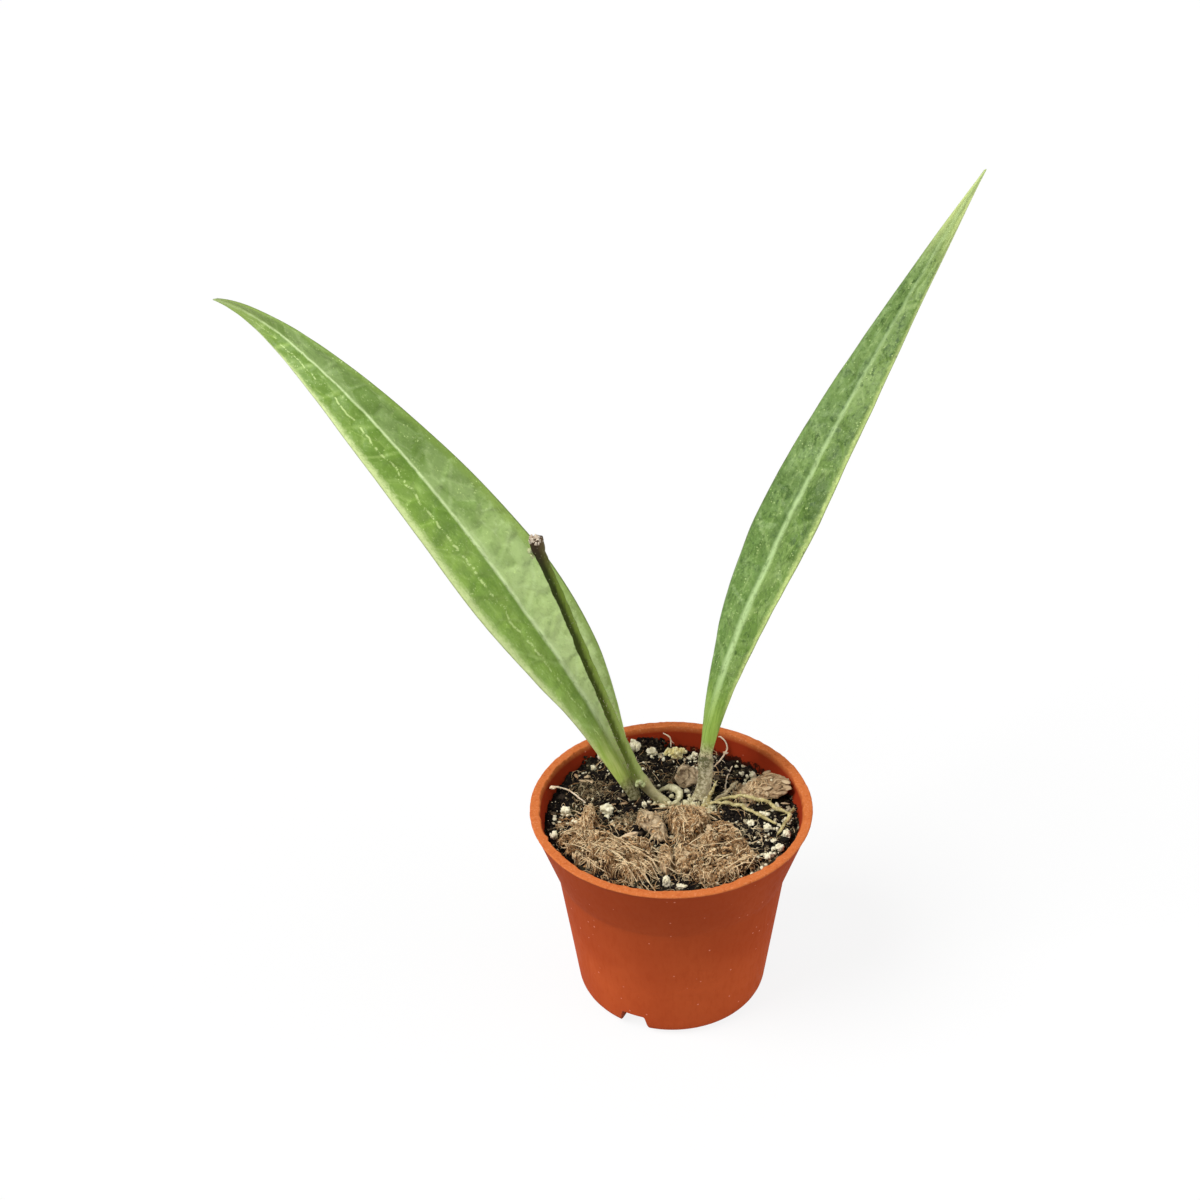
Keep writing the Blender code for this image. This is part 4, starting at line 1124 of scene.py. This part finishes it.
def make_grit(material):
    """Small bright grains of perlite strewn over the mix, more of them at the front right."""
    rng = np.random.default_rng(5)
    shapes = [lump(1, 300 + k, 2, 0.25) for k in range(12)]
    heap = Heap()

    def drop(k, x, y, z, size, least):
        shape, faces = shapes[k % 12]
        heap.add(shape * size * rng.uniform(least, 1.2, 3) + (x, y, z + size * 0.25), faces, rng.uniform())

    for k, (x, y, z, size) in enumerate(spots(rng, 470, GRIT_REACH, lambda t: 0.28 + 0.75 * t**2, 0.93)):
        if size > 0.5 and rng.uniform() > 0.35 + 0.65 * smoothstep(4, 20, x - 0.3 * y):
            size = size * 0.5
        drop(k, x, y, z, size, 0.7)
    for x0, y0, spread, count in GRIT_CLUSTERS:
        for k in range(count):
            x, y = x0 + rng.normal(0, spread), y0 + rng.normal(0, spread)
            size = rng.uniform(0.35, 1.3)
            if hypot(x, y) + size / 2 <= GRIT_REACH:
                drop(k, x, y, top_height(x, y), size, 0.6)
    heap.build("perlite_grit", material, "perlite")


def make_perlite(white, yellow):
    for name in sorted(n for n in NODES if n.startswith("perlite")):
        low, high = (np.array(c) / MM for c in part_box(name))
        middle, span = (low + high) / 2, high - low
        seed = sum(map(ord, name))
        rng = np.random.default_rng(seed)
        is_yellow = name.endswith("yellow")
        heap = Heap()
        for k in range(170 if is_yellow else 7):
            way = rng.normal(size=3)
            if is_yellow:
                way = way / np.linalg.norm(way) * rng.uniform(0.2, 1.0) * span * (0.56, 0.50, 0.50)
                heap.grain(rng.uniform(0.4, 1.1, 3), seed + k, middle + way + (0, 0, -0.1), rng.uniform())
            else:
                way = way * (1, 1, 0.6)
                way = way / np.linalg.norm(way) * span * (0.34, 0.34, 0.2)
                heap.grain(span * rng.uniform(0.3, 0.5), seed + k, middle + way, rng.uniform())
        shape, faces = lump(span * (0.7 if is_yellow else 0.98), seed, 4, 0.4, 10)
        points = shape + middle
        points[:, 2] = np.minimum(points[:, 2] - 0.2, high[2])
        heap.add(points, faces)
        material, slot = (yellow, "perlite_yellow") if is_yellow else (white, "perlite")
        heap.build(name + "_grain", material, slot, name)


# ---- coir and bark ----


def on_splinter(x, y):
    """Whether a point lies on the splinter, which stays bare."""
    dx, dy = x + 8.7, y + 6.6
    c, s = cos(radians(28)), sin(radians(28))
    return abs(dx * c + dy * s) < 3.0 and abs(dy * c - dx * s) < 0.8


def strand(rng, x, y, heading, length, curl, lift, radius, ceiling=FIBRE_TOP, bend=None, start=0.0):
    """One fibre lying on what is below it, or None where it would run into the wall."""
    path = []
    if bend is None:
        bend = rng.normal(0, curl)
    for t in np.arange(10) / 9:
        base = cover_height(x, y) or soil_height(x, y) + 0.45
        path.append((x, y, min(base + lift * sin(pi * t) + start * (1 - t) + 0.04, ceiling)))
        heading += bend + rng.normal(0, 0.05 + curl * 0.4)
        x += cos(heading) * length / 9
        y += sin(heading) * length / 9
        if hypot(x, y) > FIBRE_REACH or on_splinter(x, y):
            return None
    path = np.array(path)
    path[1:-1] = (path[:-2] + 2 * path[1:-1] + path[2:]) / 4
    return tube(path[[0, 1, 3, 5, 7, 8, 9]], radius * np.array([0.4, 0.8, 1, 1, 0.9, 0.7, 0.3]), 3)


# tuft: bunches of strands, mean heading, spread, lengths, curl, long straight strands, crumbs
TUFTS = {
    "coir_tuft_left": (300, -0.62, 1.8, (1.2, 4.2), 0.22, 46, 160),
    "coir_tuft_right": (310, 0.5, 2.2, (1, 3.4), 0.34, 14, 420),
    "coir_tuft_centre": (130, -1.2, 1.2, (1.2, 3.8), 0.24, 6, 160),
    "coir_tuft_side": (44, -1.3, 0.9, (1.4, 3.5), 0.2, 2, 50),
}


def make_tuft(name, material):
    """Matted core painted dark, as the shade beneath the fibres, then bunches of fibres over it with gaps
    between them.
    """
    bunches, heading, spread, lengths, curl, straight, crumbs = TUFTS[name]
    rng = np.random.default_rng(bunches)
    points, normals, faces = node_mesh(name, 2)
    rough = fbm(points * 0.55, 3, 51) * 0.55 + fbm(points * 1.7, 3, 53) * 0.35
    heap = Heap()
    # the core's low tone is painted shade under the strands
    heap.add(points + normals * np.minimum(rough - 0.55, 0.3)[:, None], faces, 0.12)
    low, high = (np.array(c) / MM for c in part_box(name))

    def place():
        while True:
            x, y = rng.uniform(low[0], high[0]), rng.uniform(low[1], high[1])
            if cover_height(x, y) is not None:
                return x, y

    for _ in range(bunches):
        x, y = place()
        way, bend = rng.normal(heading, spread), rng.normal(0, curl)
        length, lift = rng.uniform(*lengths), rng.uniform(-0.25, 0.9)
        tone = rng.uniform(0.15, 1.0)
        for _ in range(rng.integers(3, 8)):
            fibre = strand(rng, x + rng.normal(0, 0.35), y + rng.normal(0, 0.35), way + rng.normal(0, 0.16),
                length * rng.uniform(0.6, 1.1), 0.04, lift + rng.uniform(-0.2, 0.25),
                rng.uniform(0.045, 0.105), TUFT_TOP, bend + rng.normal(0, 0.03))
            if fibre:
                heap.add(*fibre, np.clip(tone + rng.normal(0, 0.15), 0.15, 0.95))
    for _ in range(straight):
        heap.fibre(rng, (0.85, 1.0), *place(), heading + rng.normal(0, 0.22), rng.uniform(5, 10), 0.02,
            rng.uniform(0.5, 1.0), rng.uniform(0.08, 0.13), TUFT_TOP)
    for k in range(crumbs):
        x, y = place()
        heap.grain(rng.uniform(0.25, 0.95, 3), k, (x, y, cover_height(x, y) + rng.uniform(-0.2, 0.4)),
            rng.uniform(0.15, 0.9), 1, 0.4)
    heap.build(name + "_fibres", material, "coir", name)


# matted patches: centre, spread, strands, range of tones, and whether they are grey
PATCHES = (
    (-17, 9, 5.5, 5, 280, 0.1, 0.9, True), (-9.5, -3.2, 4, 2.6, 130, 0.4, 0.95, False),
    (19, -8, 3, 4, 24, 0.6, 1, True), (-18.6, -2.2, 2.4, 3, 170, 0.3, 0.95, False),
    (-9, -1, 3, 2.4, 130, 0.3, 1, True), (2, 16, 8, 5, 120, 0.1, 0.9, True),
    (16.4, 9, 3.2, 2.6, 240, 0.55, 1, False), (17, -5, 4.5, 5, 60, 0.75, 1, True),
    (-22.5, -1.5, 2, 2.6, 40, 0.3, 0.8, False), (0, -15, 2.5, 5, 170, 0.4, 0.95, False),
    (-10, -21, 8, 1.6, 90, 0.35, 0.9, False), (10, -21, 7, 1.6, 80, 0.35, 0.9, False),
)


def make_loose_fibres(material, grey):
    rng = np.random.default_rng(8)
    heap, pale = Heap(), Heap()
    for x, y, _, _ in spots(rng, 330, 25.5, lambda t: t, 0.6):
        heap.fibre(rng, (0.2, 0.95), x, y, rng.uniform(0, ANY_TURN), rng.uniform(1.2, 5.0), 0.2,
            rng.uniform(0.2, 1.0), rng.uniform(0.04, 0.09))
    for cx, cy, rx, ry, count, low, high, greyish in PATCHES:
        for _ in range(count):
            x, y = cx + rng.normal(0, rx / 2), cy + rng.normal(0, ry / 2)
            (pale if greyish else heap).fibre(rng, (low, high), x, y, rng.uniform(0, ANY_TURN),
                rng.uniform(0.8, 2.4 if greyish else 3.4), 0.25, rng.uniform(0.1, 1.2),
                rng.uniform(0.05, 0.11))
    heap.build("loose_fibres", material, "coir")
    pale.build("grey_fibres", grey, "coir")


# chip: slot, how its grain is stretched, depth of the grain, fineness
CHIPS = {
    "bark_chip_round": ("bark_grey", (1.4, 1.4, 1.4), 0.08, 3),
    "bark_chip_large": ("bark_brown", (0.35, 2, 1.6), 0.24, 4),
    "bark_chip_front": ("bark_brown", (1.8, 0.4, 1), 0.28, 3),
    "husk_chip": ("bark_grey", (1.6, 0.5, 1), 0.22, 3),
    "wood_splinter": ("splinter", (0.5, 1.6, 1.6), 0.10, 3),
}
# centre, number and spread
FLAKES = (
    (16.4, 9.2, 70, 1.3), (17.5, 6.2, 8, 1), (22, 9, 14, 2.4), (-3, -3, 8, 1.6),
    (2.5, -14.5, 8, 2), (-12, 1.5, 6, 2), (8.5, -6.5, 7, 1.6), (-19, 12, 8, 3),
)


def make_chips(materials):
    for name, (slot, grain, depth, levels) in CHIPS.items():
        points, normals, faces = node_mesh(name, levels, "SIMPLE")
        rough = fbm(points * grain, 4, 61) * depth + fbm(points * grain * 3, 2, 67) * depth * 0.35
        points = points + normals * rough[:, None]
        build(name + "_worn", points, faces, materials[slot], slot, [name],
            tone=0.55 + 0.35 * fbm(points * grain * 1.5, 3, 71))
    rng = np.random.default_rng(33)
    flakes = Heap()
    for cx, cy, count, spread in FLAKES:
        for _ in range(count):
            x, y = cx + rng.normal(0, spread), cy + rng.normal(0, spread)
            size = rng.uniform(1.0, 2.6)
            shape, shell = lump((size, size * rng.uniform(0.3, 0.7), 0.35), rng.integers(999), 2, 0.3)
            turn = Matrix.Rotation(rng.uniform(0, ANY_TURN), 3, "Z")
            turn = np.array(turn @ Matrix.Rotation(rng.normal(0, 0.35), 3, "X"))
            at = (x, y, top_height(x, y) + 0.4)
            flakes.add(shape @ turn.T + at, shell, rng.uniform(0.45, 1.0))
    flakes.build("bark_flakes", materials["bark_brown"], "bark_brown")


# ---- stage ----

CAMERA_PLACE = (0, -0.35412, 0.32467)
# yaw, pitch and roll in degrees
CAMERA_TURNS = (-2.234, -32.559, -1.58)
CAMERA_LENS = 63.42
WORLD = 0.34
FLOOR_ALBEDO = 0.6
FLOOR_GLOW = 0.8
FLOOR_HALF = 3.0
# lamp: direction it stands in, strength and how wide it is in degrees
LAMPS = {"key": ((-0.59, -0.25, 0.77), 3.0, 36), "fill": ((0.93, -0.24, 0.28), 1.25, 60)}


def make_floor():
    """Pale floor that shows almost white and takes soft shadows."""
    p = Paint("floor", 0.9, 0.0)
    diffuse = p.node("BsdfDiffuse", (FLOOR_ALBEDO, FLOOR_ALBEDO, FLOOR_ALBEDO, 1))
    glow = p.node("Emission", (1, 1, 1, 1), 1.08)
    rays = p.node("LightPath").socket.node.outputs
    seen = p.most(Value(p, rays["Is Camera Ray"]), Value(p, rays["Is Glossy Ray"]))
    seen = p.most(seen, Value(p, rays["Is Transmission Ray"]))
    mixed = p.node("MixShader", seen * FLOOR_GLOW, diffuse, glow)
    p.fill(p.tree.nodes["Material Output"].inputs["Surface"], mixed)
    mesh = bpy.data.meshes.new("floor")
    corners = [(FLOOR_HALF * x, FLOOR_HALF * y, 0) for x, y in ((-1, -1), (1, -1), (1, 1), (-1, 1))]
    mesh.from_pydata(corners, [], [(0, 1, 2, 3)])
    mesh.materials.append(p.mat)
    floor = linked("floor", mesh)
    floor.location.z = -0.0001


def make_studio():
    """White behind, soft light from all sides and two wide lamps."""
    world = bpy.data.worlds.new("studio")
    world.use_nodes = True
    bpy.context.scene.world = world
    nodes, link = world.node_tree.nodes, world.node_tree.links.new
    light, white = nodes["Background"], nodes.new("ShaderNodeBackground")
    switch = nodes.new("ShaderNodeMixShader")
    light.inputs[0].default_value = white.inputs[0].default_value = (1, 1, 1, 1)
    light.inputs[1].default_value = WORLD
    link(nodes.new("ShaderNodeLightPath").outputs["Is Camera Ray"], switch.inputs[0])
    link(light.outputs[0], switch.inputs[1])
    link(white.outputs[0], switch.inputs[2])
    link(switch.outputs[0], nodes["World Output"].inputs["Surface"])
    for name, (direction, strength, angle) in LAMPS.items():
        lamp = bpy.data.lights.new(name, "SUN")
        lamp.energy, lamp.angle = strength, radians(angle)
        linked(name, lamp).rotation_euler = Vector(direction).to_track_quat("Z", "Y").to_euler()


def make_camera():
    data = bpy.data.cameras.new("camera")
    data.sensor_width, data.lens, data.clip_start = 36, CAMERA_LENS, 0.01
    yaw, pitch, roll = map(radians, CAMERA_TURNS)
    ahead = Vector((sin(yaw) * cos(pitch), cos(yaw) * cos(pitch), sin(pitch)))
    right = Vector((cos(yaw), -sin(yaw), 0))
    up = right.cross(ahead)
    side = right * cos(roll) + up * sin(roll)
    top = up * cos(roll) - right * sin(roll)
    camera = linked("camera", data)
    turned = Matrix((side, top, -ahead)).transposed().to_4x4()
    camera.matrix_world = Matrix.Translation(CAMERA_PLACE) @ turned
    bpy.context.scene.camera = camera


def main():
    bpy.context.scene.view_settings.view_transform = "Standard"
    make_camera()
    make_floor()
    make_studio()
    make_pot(pot_material())
    peat = soil_material()
    make_crust(peat)
    make_crumbs(peat)
    make_wall_crumbs(peat)
    white = perlite_material("perlite_white", "#cec298", "#f8f0d2")
    make_grit(white)
    make_perlite(white, perlite_material("perlite_yellow", "#e4ce74", "#faf0ba"))
    coir = fibre_material("coir", "#301e13", "#c49664", "#ffe4b6")
    for name in TUFTS:
        make_tuft(name, coir)
    make_loose_fibres(coir, fibre_material("grey_fibre", "#32261a", "#8c7656", "#d6c49e"))
    make_chips({
        "bark_grey": fibre_material("bark_grey", "#584634", "#ac9474", "#dcc6a2"),
        "bark_brown": fibre_material("bark_brown", "#523c2a", "#a48664", "#d4ba94", 0.6, 1.4, 1.4),
        "splinter": fibre_material("splinter", "#c4a078", "#e8cca8", "#fae6c8", 0.4, 2, 2),
    })
    make_roots({
        "root": root_material("root", "#847440", "#d4c68c"),
        "rootlet": root_material("rootlet", "#d6b692", "#f6e6cc"),
        "aerial_root_brown": root_material("root_brown", "#78684c", "#b6a682"),
        "curled_root": root_material("root_pale", "#a09870", "#ded8b0"),
    })
    make_crown(root_material("nodule", "#b2a87a", "#e2dab4"), coir)
    make_stem(stem_material(), root_material("bud", "#9eaa6c", "#ccd49e"),
        root_material("pith", "#aa8c70", "#eadecc"))
    for name, look in LEAF_LOOKS.items():
        make_leaf(name, leaf_material(look))


main()
